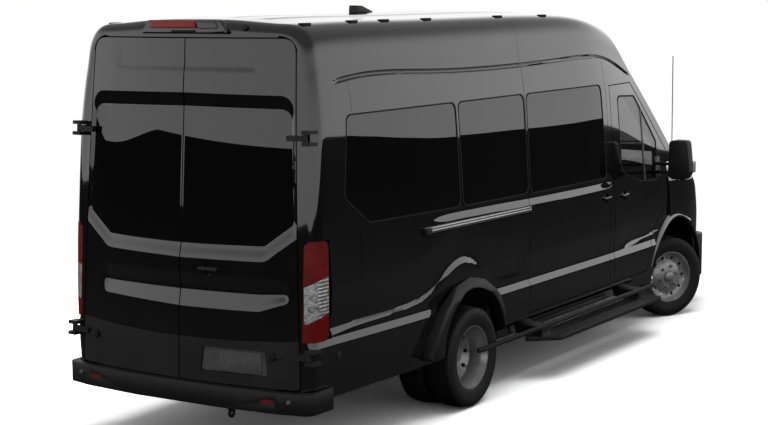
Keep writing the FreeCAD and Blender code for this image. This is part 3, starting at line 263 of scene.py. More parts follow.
# The body is one pressed skin: a section that leans in from sill to roof, drawn along stations that
# narrow at the tail and the windscreen. Every panel below is cut from sheets of this same skin.
length = 6.704
half_width = 1.008
sill = 0.430
roof = 2.700
section_shares = (
    (0.977, 0.000), (0.989, 0.045), (0.998, 0.140), (1.000, 0.210), (0.997, 0.300),
    (0.990, 0.385), (0.985, 0.440), (0.975, 0.530), (0.960, 0.645), (0.944, 0.735),
    (0.923, 0.800), (0.905, 0.845), (0.885, 0.890), (0.861, 0.938), (0.800, 0.972),
    (0.640, 0.987), (0.330, 0.997),
)
station_shares = (
    (-0.520, 0.930, 0.995, 0.985), (-0.462, 0.945, 1.000, 0.995), (-0.400, 0.965, 1.000, 1.000),
    (-0.290, 0.992, 1.000, 1.000), (-0.100, 1.000, 1.000, 1.000), (0.040, 1.000, 0.997, 0.997),
    (0.110, 1.000, 0.990, 0.985), (0.165, 0.998, 0.970, 0.955), (0.225, 0.994, 0.945, 0.895),
    (0.290, 0.985, 0.925, 0.820), (0.370, 0.965, 0.905, 0.760),
)
rear_face = -length / 2 + 0.041
rear_face_height = 0.762
rear_lean = 0.0794
rear_bow = 0.111
rear_curve = 0.0167
rear_curve_height = 1.9
rear_curve_rest = 0.72
corner_radius = 0.075
frame_width = 0.150
lower_top = 1.60
lower_step = 0.020
frame_step = 0.025
frame_middle = 1.600
side_step = 0.04
side_run = 5.72
rib_places = (0.17, 0.42)
rib_half = 0.045
rib_depth = 0.007
samples = 240


def spline(knots, values):
    """A natural cubic curve through the values, as a function of place."""
    knots = np.asarray(knots, float)
    values = np.asarray(values, float)
    gaps = np.diff(knots)
    count = len(knots)
    matrix = np.eye(count)
    sums = np.zeros_like(values)
    for i in range(1, count - 1):
        matrix[i, i - 1:i + 2] = gaps[i - 1], 2 * (gaps[i - 1] + gaps[i]), gaps[i]
        sums[i] = 6 * ((values[i + 1] - values[i]) / gaps[i] - (values[i] - values[i - 1]) / gaps[i - 1])
    bends = np.linalg.solve(matrix, sums.reshape(count, -1)).reshape(values.shape)

    def at(place):
        place = np.clip(np.asarray(place, float), knots[0], knots[-1])
        i = np.clip(np.searchsorted(knots, place) - 1, 0, count - 2)
        gap = gaps[i]
        a = (knots[i + 1] - place) / gap
        b = (place - knots[i]) / gap
        tail = (1,) * (values.ndim - 1)
        a, b, gap = (np.reshape(v, np.shape(v) + tail) for v in (a, b, gap))
        return (a * values[i] + b * values[i + 1]
                + ((a ** 3 - a) * bends[i] + (b ** 3 - b) * bends[i + 1]) * gap ** 2 / 6)

    return at


section_points = []
for place, low_share, high_share, roof_share in station_shares:
    height = (roof - sill) * roof_share
    half = [(-half_width * w * (low_share + (high_share - low_share) * h), sill + height * h)
            for w, h in section_shares]
    section_points.append(half + [(0, sill + height)] + [(-y, z) for y, z in reversed(half)])
section_at = spline([station[0] * length for station in station_shares], section_points)
section_cache = {}


def section(x):
    """Places (y, z) down the right half of the cross-section at x, from sill to crown, and their run."""
    key = round(x, 4)
    if key not in section_cache:
        points = section_at(key)
        chord = np.concatenate([[0], np.cumsum(np.hypot(*np.diff(points, axis=0).T))])
        curve = spline(chord, points)(np.linspace(0, chord[len(section_shares)], samples))
        run = np.concatenate([[0], np.cumsum(np.hypot(*np.diff(curve, axis=0).T))])
        section_cache[key] = curve[:, 0], curve[:, 1], run
    return section_cache[key]


def rear_x(y, z):
    """Where the rear face lies along the vehicle."""
    curve = rear_curve * ((z - rear_curve_height) ** 2 - rear_curve_rest)
    return rear_face + rear_lean * (z - rear_face_height) + rear_bow * y * y + curve


def eased(value):
    """The value held between 0 and 1, with soft ends."""
    value = min(max(value, 0.0), 1.0)
    return value * value * (3 - 2 * value)


def between(x, rear, rear_run, front, front_run):
    """1 along the middle of a pressing, fading over a run at its rear and its front end."""
    return eased((x - rear) / rear_run) * eased((front - x) / front_run)


def ledge(height_above, share, width, depth, reach):
    """A ledge that faces up: the skin lies at the depth above it and comes back over the reach."""
    if height_above <= 0:
        return 0.0
    rise = eased(height_above / width)
    fade = 1 - eased((height_above - width) / reach)
    return -depth * share * rise * fade


# Pressed lines of the side, each as places (x, z) that a smooth line joins
crease_line = spline((-3.10, -2.60, -2.12, -1.944, -1.70, -1.489, -1.30, -1.12, -0.98, -0.70, 1.6, 2.4),
                     (0.785, 0.800, 0.815, 0.845, 0.965, 1.020, 0.960, 0.855, 0.815, 0.800, 0.775, 0.85))
cladding_line = spline((-3.10, -1.0, 1.8), (0.712, 0.700, 0.688))
belt_line = spline((-2.10, -1.40, -0.50, 0.40, 0.95), (1.335, 1.325, 1.305, 1.290, 1.288))
low_line = spline((-3.1, -2.0, -0.9, 1.8), (0.527, 0.515, 0.512, 0.490))
drip_line = spline((-2.95, -2.82, -1.80, 0.235, 0.885, 1.048, 1.323, 1.60),
                   (2.300, 2.318, 2.325, 2.328, 2.312, 2.284, 2.205, 2.10))
# Width, depth and reach of each ledge
cladding_ledge = (0.064, 0.018, 0.20)
crease_ledge = (0.032, 0.011, 0.30)
belt_ledge = (0.036, 0.010, 0.12)
# Rear end and its run, front end and its run
crease_break = (-0.74, 0.22, 1.30, 0.30)
belt_ends = (-2.05, 0.50, 0.98, 0.15)
rib_ends = (-3.00, 0.15, 1.05, 0.25)
ledges_top = 1.75
channel_low = 2.0
channel_front = 1.45
fold_half = 0.006
fold_depth = 0.003
drip_half = 0.011
drip_depth = 0.017


def pressing(x, z):
    """How far the side's skin stands out, beyond the plain section, at a place on it."""
    out = 0.0
    if z < ledges_top:
        out += ledge(z - float(cladding_line(x)), 1, *cladding_ledge)
        # The crease is deepest behind the rear wheel and dies out under the sliding door
        share = (1 - between(x, *crease_break)) * (1 + 0.6 * eased((-1.75 - x) / 0.2))
        out += ledge(z - float(crease_line(x)), share, *crease_ledge)
        out += ledge(z - float(belt_line(x)), between(x, *belt_ends), *belt_ledge)
        out -= fold_depth * math.exp(-((z - float(low_line(x))) / fold_half) ** 2)
    elif z > channel_low and x < channel_front:
        away = (z - float(drip_line(x))) / drip_half
        if abs(away) < 3:
            out -= drip_depth * eased((x + 2.90) / 0.06) * math.exp(-away ** 4)
    return out


def roof_pressing(x, y):
    """The shallow long ribs across the roof."""
    across = sum(math.exp(-((y + rib) / rib_half) ** 4) for rib in rib_places)
    return -rib_depth * between(x, *rib_ends) * across


row_heights = np.arange(sill - 0.04, lower_top, lower_step)
channel_share = 0.385
upper_shares = np.concatenate([np.linspace(0, 0.34, 18), np.linspace(0.345, 0.425, 28),
                               np.linspace(0.435, 1, 50)])
row_cache = {}


def rows_at(x):
    """The places (y, z) of every row of the sheet at x, and the inward direction there."""
    key = round(x, 2)
    if key in row_cache:
        return row_cache[key]
    ys, zs, run = section(key)
    places = np.arange(samples)
    lows = np.interp(row_heights, zs, places)
    start = np.interp(lower_top, zs, run)
    # The close rows keep to the channel, which climbs and falls along the side
    channel = (np.interp(float(drip_line(key)), zs, run) - start) / (run[-1] - start)
    shift = min(max(channel - channel_share, -0.1), 0.03)
    shares = upper_shares + shift * np.interp(upper_shares, (0, 0.32, 0.45, 1), (0, 1, 1, 0))
    highs = np.interp(start + shares * (run[-1] - start), run, places)
    rows = []
    for at in np.concatenate([lows, highs]):
        i = int(min(max(round(at), 1), samples - 2))
        along = Vector((0, ys[i + 1] - ys[i - 1], zs[i + 1] - zs[i - 1])).normalized()
        y = float(np.interp(at, places, ys))
        z = float(np.interp(at, places, zs))
        rows.append((y, z, Vector((0, along.z, -along.y))))
    rows[-1] = (0.0, rows[-1][1], Vector((0, 0, -1)))
    for i, height in enumerate(row_heights):
        if height < sill:
            rows[i] = (rows[i][0], float(height), rows[i][2])
    row_cache[key] = rows
    return rows


def drawn_in(y, z, distance):
    """A place of the section drawn evenly inwards, so that the rows of the frame never cross."""
    share = 1 - distance / (roof - frame_middle) if z > frame_middle else 1
    return y * (1 - distance / half_width), frame_middle + (z - frame_middle) * share


def side_sheet(inset, pressed):
    """The right half of the skin as columns of points, from the rear frame round to the front."""
    base = rows_at(-length / 2 + 0.30)
    starts = [rear_x(*drawn_in(y, z, corner_radius)) for y, z, inward in base]
    middle = starts[len(row_heights) // 2]
    flat = [frame_width - i * frame_step for i in range(int((frame_width - corner_radius) / frame_step))]
    # Each column's distance from the side, its place behind the corner's start, and how it faces back
    layout = [(distance, corner_radius, 1.0) for distance in flat]
    for turn in [math.radians(90 - i * 10) for i in range(10)]:
        facing = math.sin(turn)
        layout.append((corner_radius * (1 - math.cos(turn)), corner_radius * facing, facing))
    layout += [(0.0, -step, 0.0) for step in np.arange(side_step, side_run, side_step)]
    columns = []
    for distance, back, facing in layout:
        column = []
        for i, start in enumerate(starts):
            # Columns follow the leaning rear face near the tail and stand upright further on
            x = start + corner_radius - back
            x -= eased((x + length / 2) / 2.4) * (start - middle)
            low = math.floor(x * 100) / 100
            share = (x - low) * 100
            y0, z0, first = rows_at(low)[i]
            y1, z1, second = rows_at(low + 0.01)[i]
            y = y0 + (y1 - y0) * share
            z = z0 + (z1 - z0) * share
            out = 0.0
            if pressed and facing < 1:
                out = roof_pressing(x, y) if y > -0.66 else pressing(x, z)
            place = Vector((x, *drawn_in(y, z, distance)))
            place += first.lerp(second, share) * ((inset - out) * math.sqrt(1 - facing * facing))
            if facing == 1:
                place.x = rear_x(place.y, place.z)
            place.x += inset * facing
            column.append(place)
        columns.append(column)
    return columns


def made(work, name):
    """A new object from the bmesh, at the origin."""
    mesh = bpy.data.meshes.new(name)
    work.to_mesh(mesh)
    work.free()
    piece = bpy.data.objects.new(name, mesh)
    scene.collection.objects.link(piece)
    return piece


def of_kind(result, kind):
    return [item for item in result["geom"] if isinstance(item, kind)]


def walled(name, outer, inner):
    """A closed wall between two grids of points, whose outer faces look outwards."""
    columns = len(outer)
    rows = len(outer[0])
    sheet = bmesh.new()
    bmesh.ops.create_grid(sheet, x_segments=columns - 1, y_segments=rows - 1, size=0.5)
    backs = []
    for corner in sheet.verts:
        i = round((corner.co.x + 0.5) * (columns - 1))
        j = round((corner.co.y + 0.5) * (rows - 1))
        corner.co = outer[i][j]
        backs.append(inner[i][j])
    back = bmesh.ops.duplicate(sheet, geom=sheet.verts[:] + sheet.edges[:] + sheet.faces[:])
    twins = back["vert_map"]
    for corner, place in zip(sheet.verts[:len(backs)], backs):
        twins[corner].co = place
    bmesh.ops.reverse_faces(sheet, faces=of_kind(back, bmesh.types.BMFace))
    bmesh.ops.bridge_loops(sheet, edges=[edge for edge in sheet.edges if edge.is_boundary])
    return made(sheet, name)


def plain_sheet(name, outer, inner):
    """A wall between two depths under the skin as it is without its pressed lines."""
    return walled(name, side_sheet(outer, False), side_sheet(inner, False))


# The side panels, the sliding door, the front doors and the roof are pressed steel sheets, welded or
# hung on the body with even gaps between them and painted black. Each handle has a round dish behind it.
far = 1.2
near = 0.45
gap = 0.008
front_axle = 2.329
rear_axle = -1.421
tyre_height = 0.3495
wall = 0.045
door_front = 2.155
door_rear = 0.972
door_top = 2.085
door_shoulder = 1.465
door_bottom = 0.505
belt = 1.470
pillar_slope = 1.204 / 1.066
slide_rear = -0.508
slide_front = door_rear - gap - 0.080
slide_top = 2.317
arch_clear = 0.700
screen_foot_x = 2.530
screen_foot_z = 1.400
screen_bow = 0.255
screen_half = 1.200
screen_rise = 1.066 / 1.204
window_top = 2.110
corner = 0.06
panes = (
    [(-2.815, window_top), (-2.875, 1.601), (-2.615, 1.421), (-1.504, 1.396), (-1.504, window_top)],
    [(-1.480, window_top), (-1.480, 1.396), (-0.520, 1.382), (-0.520, window_top)],
    [(-0.496, window_top), (-0.496, 1.377), (0.830, 1.362), (0.800, window_top)],
)
door_pane = [
    (door_rear + 0.150, door_top - 0.085), (door_rear + 0.165, belt - 0.060),
    (door_rear + 0.240, belt - 0.115), (door_rear + 0.560, belt - 0.205),
    (door_front - 0.230, belt - 0.230), (door_front - 0.205, belt + 0.100),
    (door_shoulder + 0.060, door_top - 0.105),
]
roof_outline = [(-4, 2.325), (0.5, 2.328), (0.885, 2.312), (1.048, 2.284), (1.323, 2.205),
                (1.50, 2.13), (3, 2.13), (3, 3), (-4, 3)]
rear_low = 0.470
rear_top = 2.572
leaf_half_low = 0.865
leaf_half_high = 0.785
dish_radius = 0.038
dish_depth = 0.012
dishes = ((0.815, 1.205), (1.175, 1.190))
seam_half = 0.0015
seam_depth = 0.004
seam_places = ((-2.700, 0.95, 2.30, -0.05), (-0.510, 2.335, 2.80, 0.0))
arch_reach = 0.428
arch_height = 0.405
lip_middle = (2.310, 0.335)
lip_inner = 0.540
through_rear = (-3.7, -2.9)


def applied(piece):
    """Turns what the modifiers make into the piece's own mesh."""
    graph = bpy.context.evaluated_depsgraph_get()
    graph.update()
    mesh = bpy.data.meshes.new_from_object(piece.evaluated_get(graph))
    piece.modifiers.clear()
    piece.data = mesh
    return piece


def smooth(piece, degrees=30):
    piece.data.shade_smooth()
    piece.data.set_sharp_from_angle(angle=math.radians(degrees))


def rounded(outline, radius):
    """The outline's corners (a, b), each turned into an arc; a list gives each corner its own radius."""
    radii = radius if isinstance(radius, (list, tuple)) else [radius] * len(outline)
    result = []
    count = len(outline)
    for i, corner in enumerate(outline):
        here = Vector(corner)
        before = Vector(outline[i - 1]) - here
        after = Vector(outline[(i + 1) % count]) - here
        if not radii[i]:
            result.append(tuple(here))
            continue
        longest = min(before.length, after.length) * 0.45
        reach = min(radii[i] / math.tan(before.angle(after) / 2), longest)
        first = here + before.normalized() * reach
        last = here + after.normalized() * reach
        for step in range(7):
            t = step / 6
            result.append(tuple(first * (1 - t) ** 2 + here * 2 * t * (1 - t) + last * t ** 2))
    return result


def grown(outline, amount):
    """The outline (a, b), moved outwards by the amount."""
    count = len(outline)
    area = sum(outline[i - 1][0] * outline[i][1] - outline[i][0] * outline[i - 1][1]
               for i in range(count))
    turn = 1 if area > 0 else -1
    moved = []
    for i in range(count):
        a = (Vector(outline[i]) - Vector(outline[i - 1])).normalized()
        b = (Vector(outline[(i + 1) % count]) - Vector(outline[i])).normalized()
        first = Vector((a.y, -a.x)) * turn
        second = Vector((b.y, -b.x)) * turn
        split = first + second
        moved.append(tuple(Vector(outline[i]) + split * (amount / split.dot(first))))
    return moved


def rectangle(left, right, low, high):
    """The corners of an upright rectangle."""
    return [(left, low), (right, low), (right, high), (left, high)]


def prism(outline, axis, low, high, radius=0.0, name="cutter", bevel=0.0):
    """A closed block whose outline lies across the axis: (x, z) for y, (y, z) for x and (x, y) for z."""
    if radius:
        outline = rounded(outline, radius)
    orders = {"x": lambda a, b, c: (c, a, b), "y": lambda a, b, c: (a, c, b),
              "z": lambda a, b, c: (a, b, c)}
    order = orders[axis]
    block = bmesh.new()
    face = block.faces.new([block.verts.new(order(a, b, low)) for a, b in outline])
    pushed = bmesh.ops.extrude_face_region(block, geom=[face])
    shift = Vector(order(0, 0, high - low))
    bmesh.ops.translate(block, vec=shift, verts=of_kind(pushed, bmesh.types.BMVert))
    bmesh.ops.recalc_face_normals(block, faces=block.faces)
    if bevel:
        rim = [edge for edge in block.edges if edge.calc_face_angle(0) > 0.6]
        bmesh.ops.bevel(block, geom=rim, offset=bevel, segments=3, profile=0.5, affect="EDGES",
                        material=-1, clamp_overlap=True)
    return made(block, name)


def copied(piece, name):
    """A new piece with its own copy of the form."""
    twin = bpy.data.objects.new(name, piece.data.copy())
    scene.collection.objects.link(twin)
    return twin


def cut(piece, cutters, operation="DIFFERENCE"):
    """Cuts the cutters out of the piece, or keeps what they share."""
    for cutter in cutters:
        change = piece.modifiers.new("cut", "BOOLEAN")
        change.operation = operation
        change.object = cutter
        change.solver = "EXACT"
    return applied(piece)


def common(piece, zone, name):
    """What of the piece lies inside the zone, as a new piece."""
    return cut(copied(piece, name), [zone], "INTERSECT")


def mirror_copy(piece, name):
    """The same piece on the other side of the vehicle."""
    twin = copied(piece, name)
    work = bmesh.new()
    work.from_mesh(twin.data)
    bmesh.ops.scale(work, vec=(1, -1, 1), verts=work.verts)
    bmesh.ops.reverse_faces(work, faces=work.faces)
    work.to_mesh(twin.data)
    work.free()
    return twin


def discard(*pieces):
    for piece in pieces:
        bpy.data.objects.remove(piece)


def dress(piece, body, finish, slot, *nodes, degrees=30):
    """Shades the piece, gives it its material, says what it moves with, and hides the nodes that it
    stands for.
    """
    smooth(piece, degrees)
    piece.data.materials.clear()
    piece.data.materials.append(finish.material)
    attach(piece, body)
    if nodes:
        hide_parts(*nodes)
    return piece


def dress_both(piece, body, finish, slot, *nodes, degrees=30):
    """Dresses a piece of the right side and its mirror copy; nodes of the right side have a left twin."""
    dress(piece, body, finish, slot, *nodes, degrees=degrees)
    twin = mirror_copy(piece, piece.name.replace("right", "left"))
    left_nodes = [node.replace("right", "left") for node in nodes if "right" in node]
    dress(twin, body.replace("right", "left"), finish, slot, *left_nodes, degrees=degrees)


def disc(x, z, radius, low, high, parts=64, **options):
    """A closed disc across the vehicle."""
    turns = [2 * math.pi * i / parts for i in range(parts)]
    outline = [(x + radius * math.cos(turn), z + radius * math.sin(turn)) for turn in turns]
    return prism(outline, "y", low, high, **options)


def side_y(x, z):
    """Where the right side's skin lies across the vehicle."""
    ys, zs, run = section(x)
    return float(np.interp(z, zs, ys))


def door_zone(edge):
    """A block through the front door, grown by the edge, less the wheel's arch."""
    foot = door_top - (door_front - door_shoulder) / pillar_slope + edge
    outline = [(door_rear - edge, door_bottom - edge), (door_front + edge, door_bottom - edge),
               (door_front + edge, foot), (door_shoulder + edge * 1.4, door_top + edge),
               (door_rear - edge, door_top + edge)]
    zone = prism(outline, "y", -far, -near)
    arch = disc(front_axle, tyre_height, arch_clear - edge, -far - 0.1, -near + 0.1)
    zone = cut(zone, [arch])
    discard(arch)
    return zone


# The paint is a deep solid black under clear lacquer, with a trace of dust and faint orange peel
paint = Finish("gloss_black", Coat_Weight=1.0, Coat_Roughness=0.01)
dust = paint.noise(2.5, 5).soft(0.35, 0.75)
paint.clouded(dust, (0.0050, 0.0050, 0.0055), (0.0085, 0.0085, 0.0088), 0.03, 0.03)
paint.bump(paint.noise(160, 2), 0.00002)

side = walled("side", side_sheet(0.0, True), side_sheet(wall, False))
pane_sheet = plain_sheet("pane_sheet", 0.003, 0.009)
# Everything ahead of the windscreen's sloping face
arc = [(screen_foot_x - screen_bow * (y / screen_half) ** 2, y)
       for y in np.linspace(-screen_half, screen_half, 25)]
ahead = prism(arc + [(5, screen_half), (5, -screen_half)], "z", 0, 3)
for point in ahead.data.vertices:
    point.co.x -= (point.co.z - screen_foot_z) / screen_rise
opening = [(-leaf_half_low, rear_low), (leaf_half_low, rear_low), (leaf_half_high, rear_top),
           (-leaf_half_high, rear_top)]
rear_hole = prism(grown(opening, gap), "x", *through_rear, [0.03, 0.03, 0.10, 0.10])
side = cut(side, [ahead, rear_hole])
pane_sheet = cut(pane_sheet, [ahead])

roof_zone = prism(roof_outline, "y", -far, far)
door_solid = door_zone(0.0)
door_hole = door_zone(gap)
slide_outline = rectangle(slide_rear, slide_front, door_bottom, slide_top)
slide_solid = prism(slide_outline, "y", -far, -near)
slide_hole = prism(grown(slide_outline, 0.005), "y", -far, -near)
pane_holes = [prism(outline, "y", -far, -near, corner) for outline in panes]
arch_outline = [(rear_axle + arch_reach * math.cos(a), arch_height + arch_reach * math.sin(a))
                for a in np.linspace(0, math.pi, 33)]
arch_outline += [(rear_axle - arch_reach, 0.2), (rear_axle + arch_reach, 0.2)]
arch_rear = prism(arch_outline, "y", -far, -near)
arch_front = disc(*lip_middle, lip_inner, -far, -near)
lamp_hole = prism([(-3.6, 0.762), (-3.0, 0.762), (-3.045, 1.375), (-3.6, 1.375)], "y", -far, -0.879)
lamp_corner = prism([(-0.860, 1.330), (-0.930, 1.385), (-0.860, 1.385)], "x", *through_rear)
lamp_hole = cut(lamp_hole, [lamp_corner])
cab_front = prism(rectangle(door_front + gap, 3, 0, belt - 0.1), "y", -far, far)
dish_cuts = [disc(x, z, dish_radius, -far, side_y(x, z) + dish_depth) for x, z in dishes]
# Joints between the rear quarter and the side, and between the roof's two pressings
core = plain_sheet("core", seam_depth, wall + 0.015)
seams = []
for x, low, high, lean in seam_places:
    line = [(x - seam_half, low), (x + seam_half, low), (x + seam_half + lean, high),
            (x - seam_half + lean, high)]
    seams.append(cut(prism(line, "y", -far, -0.30), [core]))

side_cuts = [roof_zone, door_hole, arch_rear, arch_front, lamp_hole, cab_front, seams[0]]
body_side = cut(copied(side, "side_right"), side_cuts)
left_side = mirror_copy(body_side, "left_side")
side_right = cut(body_side, [slide_hole, *pane_holes[:2]])
dress(side_right, "body", paint, "paint", "side_panel_right")
# The left side has the same three windows and no sliding door
left_holes = [mirror_copy(hole, "hole") for hole in pane_holes]
side_left = cut(left_side, left_holes)
side_left.name = "side_panel_left_skin"
dress(side_left, "body", paint, "paint", "side_panel_left")
sliding = cut(common(side, slide_solid, "sliding_door_skin"), [pane_holes[2], dish_cuts[0]])
dress(sliding, "body", paint, "paint", "sliding_door")
door_window = prism(door_pane, "y", -far, -near, corner)
door_right = cut(common(side, door_solid, "front_door_right_skin"), [door_window, dish_cuts[1]])
dress_both(door_right, "front_door_right", paint, "paint", "front_door_right")
roof_half = cut(common(side, roof_zone, "roof_right"), [seams[1]])
dress_both(roof_half, "body", paint, "paint", "roof_panel")
discard(side, ahead, rear_hole, roof_zone, door_solid, door_hole, slide_solid, slide_hole, *pane_holes,
        *left_holes, arch_rear, arch_front, lamp_hole, cab_front, *dish_cuts, *seams, core, door_window)

# The windows are dark panes, bonded in nearly flush with the body, with a black rubber edge round them.
# Round the body's panes that edge is partly painted shade: it stands for the shadow gap along their top.
# The front doors have lighter drop glass, which a narrow upright post divides.


def tinted(name):
    """Nearly opaque privacy glass with a faint smear."""
    glass = Finish(name, Specular_IOR_Level=1.0, Alpha=0.985)
    smear = glass.noise(3, 3).soft(0.4, 0.8)
    glass.set("Base Color", glass.blend(smear, (0.0006, 0.0006, 0.0006), (0.0012, 0.0012, 0.0012)))
    glass.set("Roughness", smear * 0.006)
    return glass


# The panes aren't quite parallel to the body: each bows a little, which bends the skyline in them
privacy = tinted("privacy_glass")
x, y, z = privacy.axes()
rear_pane = (x < -1.49) * ((x + 2.1) * (x + 2.1) * 0.0026 - 0.0004)
front_pane = (x > -0.48) * (x + 0.48) * (x + 0.48) * 0.0035
privacy.bump((rear_pane + (x > -1.49) * 0.0014 + front_pane) * (z - 1.75), 1.0)
drop_glass = Finish("drop_glass", Coat_Weight=1.0, Coat_Roughness=0.0)
haze = drop_glass.noise(3, 3).soft(0.4, 0.8)
drop_glass.clouded(haze, (0.004, 0.0045, 0.0045), (0.007, 0.0075, 0.0075), 0.01, 0.008)
drop_glass.set("Alpha", haze * 0.06 + 0.62)
rubber = Finish("edge_rubber", Specular_IOR_Level=0.3)
pores = rubber.noise(900, 2)
rubber.clouded(pores, (0.006, 0.006, 0.006), (0.011, 0.011, 0.011), 0.15, 0.55)
rubber.bump(pores, 0.0001, 0.4)
divider_x = 1.640
divider_half = 0.009
seal_width = 0.010
seal_clear = 0.0005
seal_lap = 0.003
frame_reach = 0.030

seal_sheet = plain_sheet("seal_sheet", -0.001, 0.011)


def framed(outline, glass_name, seal_name, edge, body, finish, *nodes):
    """The pane in the outline and the rubber round it, on both sides of the vehicle."""
    zone = prism(grown(outline, -seal_width - seal_clear), "y", -far, -near, corner)
    inner = prism(grown(outline, -seal_width), "y", -far, -near, corner)
    outer = prism(grown(outline, edge), "y", -far, -near, corner)
    glass = common(pane_sheet, zone, glass_name)
    seal = cut(common(seal_sheet, outer, seal_name), [inner])
    dress_both(glass, body, finish, "dark_glass", *nodes)
    dress_both(seal, body, rubber, "black_trim")
    discard(zone, inner, outer)


# The rubber round these panes is partly a real edge and partly painted shade for the shadow gap over the
# glass
for i, outline in enumerate(panes):
    names = "glass_right_" + str(i + 1), "pane_seal_right_" + str(i + 1)
    framed(outline, *names, -seal_clear, "body", privacy, *(["side_glass"] if i == 0 else []))
framed(door_pane, "door_glass_right", "door_seal_right", seal_lap, "front_door_right", drop_glass,
       "front_glass_right")
pane_zone = prism(grown(door_pane, -seal_width), "y", -far, -near, corner)
divider_outline = rectangle(divider_x - divider_half, divider_x + divider_half, 1, 2.2)
divider_zone = prism(divider_outline, "y", -far, -near)
divider = cut(common(seal_sheet, pane_zone, "door_post_right"), [divider_zone], "INTERSECT")
divider_finish = Finish("post_grey", colour=(0.16, 0.16, 0.165), Metallic=0.3)
divider_finish.set("Roughness", divider_finish.noise(40, 3) * 0.2 + 0.25)
dress_both(divider, "front_door_right", divider_finish, "black_trim")
# Inside each front door's edge stands the body's door frame, which closes the gap round the door
frame_sheet = plain_sheet("frame_sheet", wall + 0.002, wall + 0.010)
frame_outer = door_zone(frame_reach)
frame_inner = door_zone(-frame_reach)
door_frame = cut(common(frame_sheet, frame_outer, "door_frame_right"), [frame_inner])
dress_both(door_frame, "body", rubber, "black_trim")
discard(frame_sheet, frame_outer, frame_inner, pane_zone, divider_zone, seal_sheet, pane_sheet)

# The two rear doors are pressed steel leaves: the glass lies in a shallow recess whose upper side faces
# down and lower side faces up, with a long swage under it. A grained plastic cover runs along their foot.
leaf_pane = [(0.012, 1.318), (0.610, 1.328), (0.805, 1.468), (0.770, 2.140), (0.012, 2.150)]
pane_round = [0.0, 0.05, 0.05, 0.05, 0.0]
pane_core = [(0.0, 1.387), (0.588, 1.397), (0.737, 1.506), (0.703, 2.072), (0.0, 2.080)]
recess_round = 0.070
recess_depth = 0.013
recess_over = 0.105
recess_under = 0.090
recess_beside = 0.022
recess_low = 1.15
recess_high = 2.35
recess_side = 0.86
swage_places = (-0.790, -0.733, -0.584, -0.014, 0.651)
swage_lows = (1.000, 0.981, 0.919, 0.908, 0.933)
swage_top = 1.045
swage_depth = 0.013
swage_reach = 0.10
swage_ends = (-0.790, 0.035, 0.670, 0.035)
brow_height = 2.362
brow_ledge = (0.045, 0.0045, 0.16)
brow_ends = (-0.56, 0.07, 0.60, 0.07)
leaf_step = 0.0125
leaf_high = 2.600
leaf_low = 0.455
leaf_edge = 0.8875
leaf_split = 0.004
handle_place = (-0.228, 1.169)
plate_recess = [(-0.165, 0.537), (-0.649, 0.537), (-0.629, 0.693), (-0.185, 0.693)]
plate_outline = rectangle(-0.605, -0.305, 0.546, 0.678)
stop_places = ((0.731, 0.662), (-0.687, 0.663))
cover_top = 0.737
cover_rise = 0.035
cover_gap = 0.003


def recess(y, z):
    """How deep the leaf's face lies at the place, for the glass and the ledges round it."""
    here = Vector((abs(y), z))
    inside = all((b[0] - a[0]) * (z - a[1]) - (b[1] - a[1]) * (abs(y) - a[0]) > 0
                 for a, b in zip(pane_core, pane_core[1:]))
    if inside:
        return recess_depth
    best = None
    for a, b in zip(pane_core, pane_core[1:]):
        first, run = Vector(a), Vector(b) - Vector(a)
        share = min(max((here - first).dot(run) / run.dot(run), 0), 1)
        away = here - first - run * share
        if best is None or away.length < best.length:
            best = away
    rise = best.y / max(best.length, 1e-9)
    width = recess_beside + (recess_over - recess_beside) * max(rise, 0) ** 2
    width += (recess_under - recess_beside) * max(-rise, 0) ** 1.2
    return recess_depth * (1 - eased((best.length - recess_round) / width))


def leaf_depth(y, z):
    """How far the leaves' face lies in from the plain rear face."""
    near_pane = recess_low < z < recess_high and abs(y) < recess_side
    depth = recess(y, z) if near_pane else 0.0
    foot = float(np.interp(y, swage_places, swage_lows))
    depth -= ledge(z - foot, between(y, *swage_ends), swage_top - foot, swage_depth, swage_reach)
    depth -= ledge(z - brow_height, between(y, *brow_ends), *brow_ledge)
    return depth


def leaf_sheet(inset, pressed):
    """Both leaves' face as columns of points, from left to right."""
    return [[Vector((rear_x(y, z) + inset + (leaf_depth(y, z) if pressed else 0.0), y, z))
             for z in np.arange(leaf_low, leaf_high, leaf_step)]
            for y in np.arange(leaf_edge, -leaf_edge - leaf_step / 2, -leaf_step)]


def on_rear(outline, low, high, radius=0.0, name="cutter", bevel=0.0):
    """A block between two depths behind and in front of the rear face, which it follows."""
    block = prism(outline, "x", low, high, radius, name, bevel)
    for point in block.data.vertices:
        point.co.x += rear_x(point.co.y, point.co.z)
    return block


def ring_outline(y, z, radius, parts=32):
    """A round outline about the place."""
    turns = [2 * math.pi * i / parts for i in range(parts)]
    return [(y + radius * math.cos(turn), z + radius * math.sin(turn)) for turn in turns]


# Black satin plastic with a moulded grain, for covers, bumpers, flares and mirrors
trim = Finish("satin_black", Specular_IOR_Level=0.4)
grain = trim.noise(700, 2)
scuff = trim.noise(4, 5).soft(0.40, 0.70)
trim.clouded(scuff, (0.012, 0.012, 0.0125), (0.018, 0.018, 0.0185), 0.10, grain * 0.08 + 0.36)
trim.bump(grain, 0.00025, 0.5)

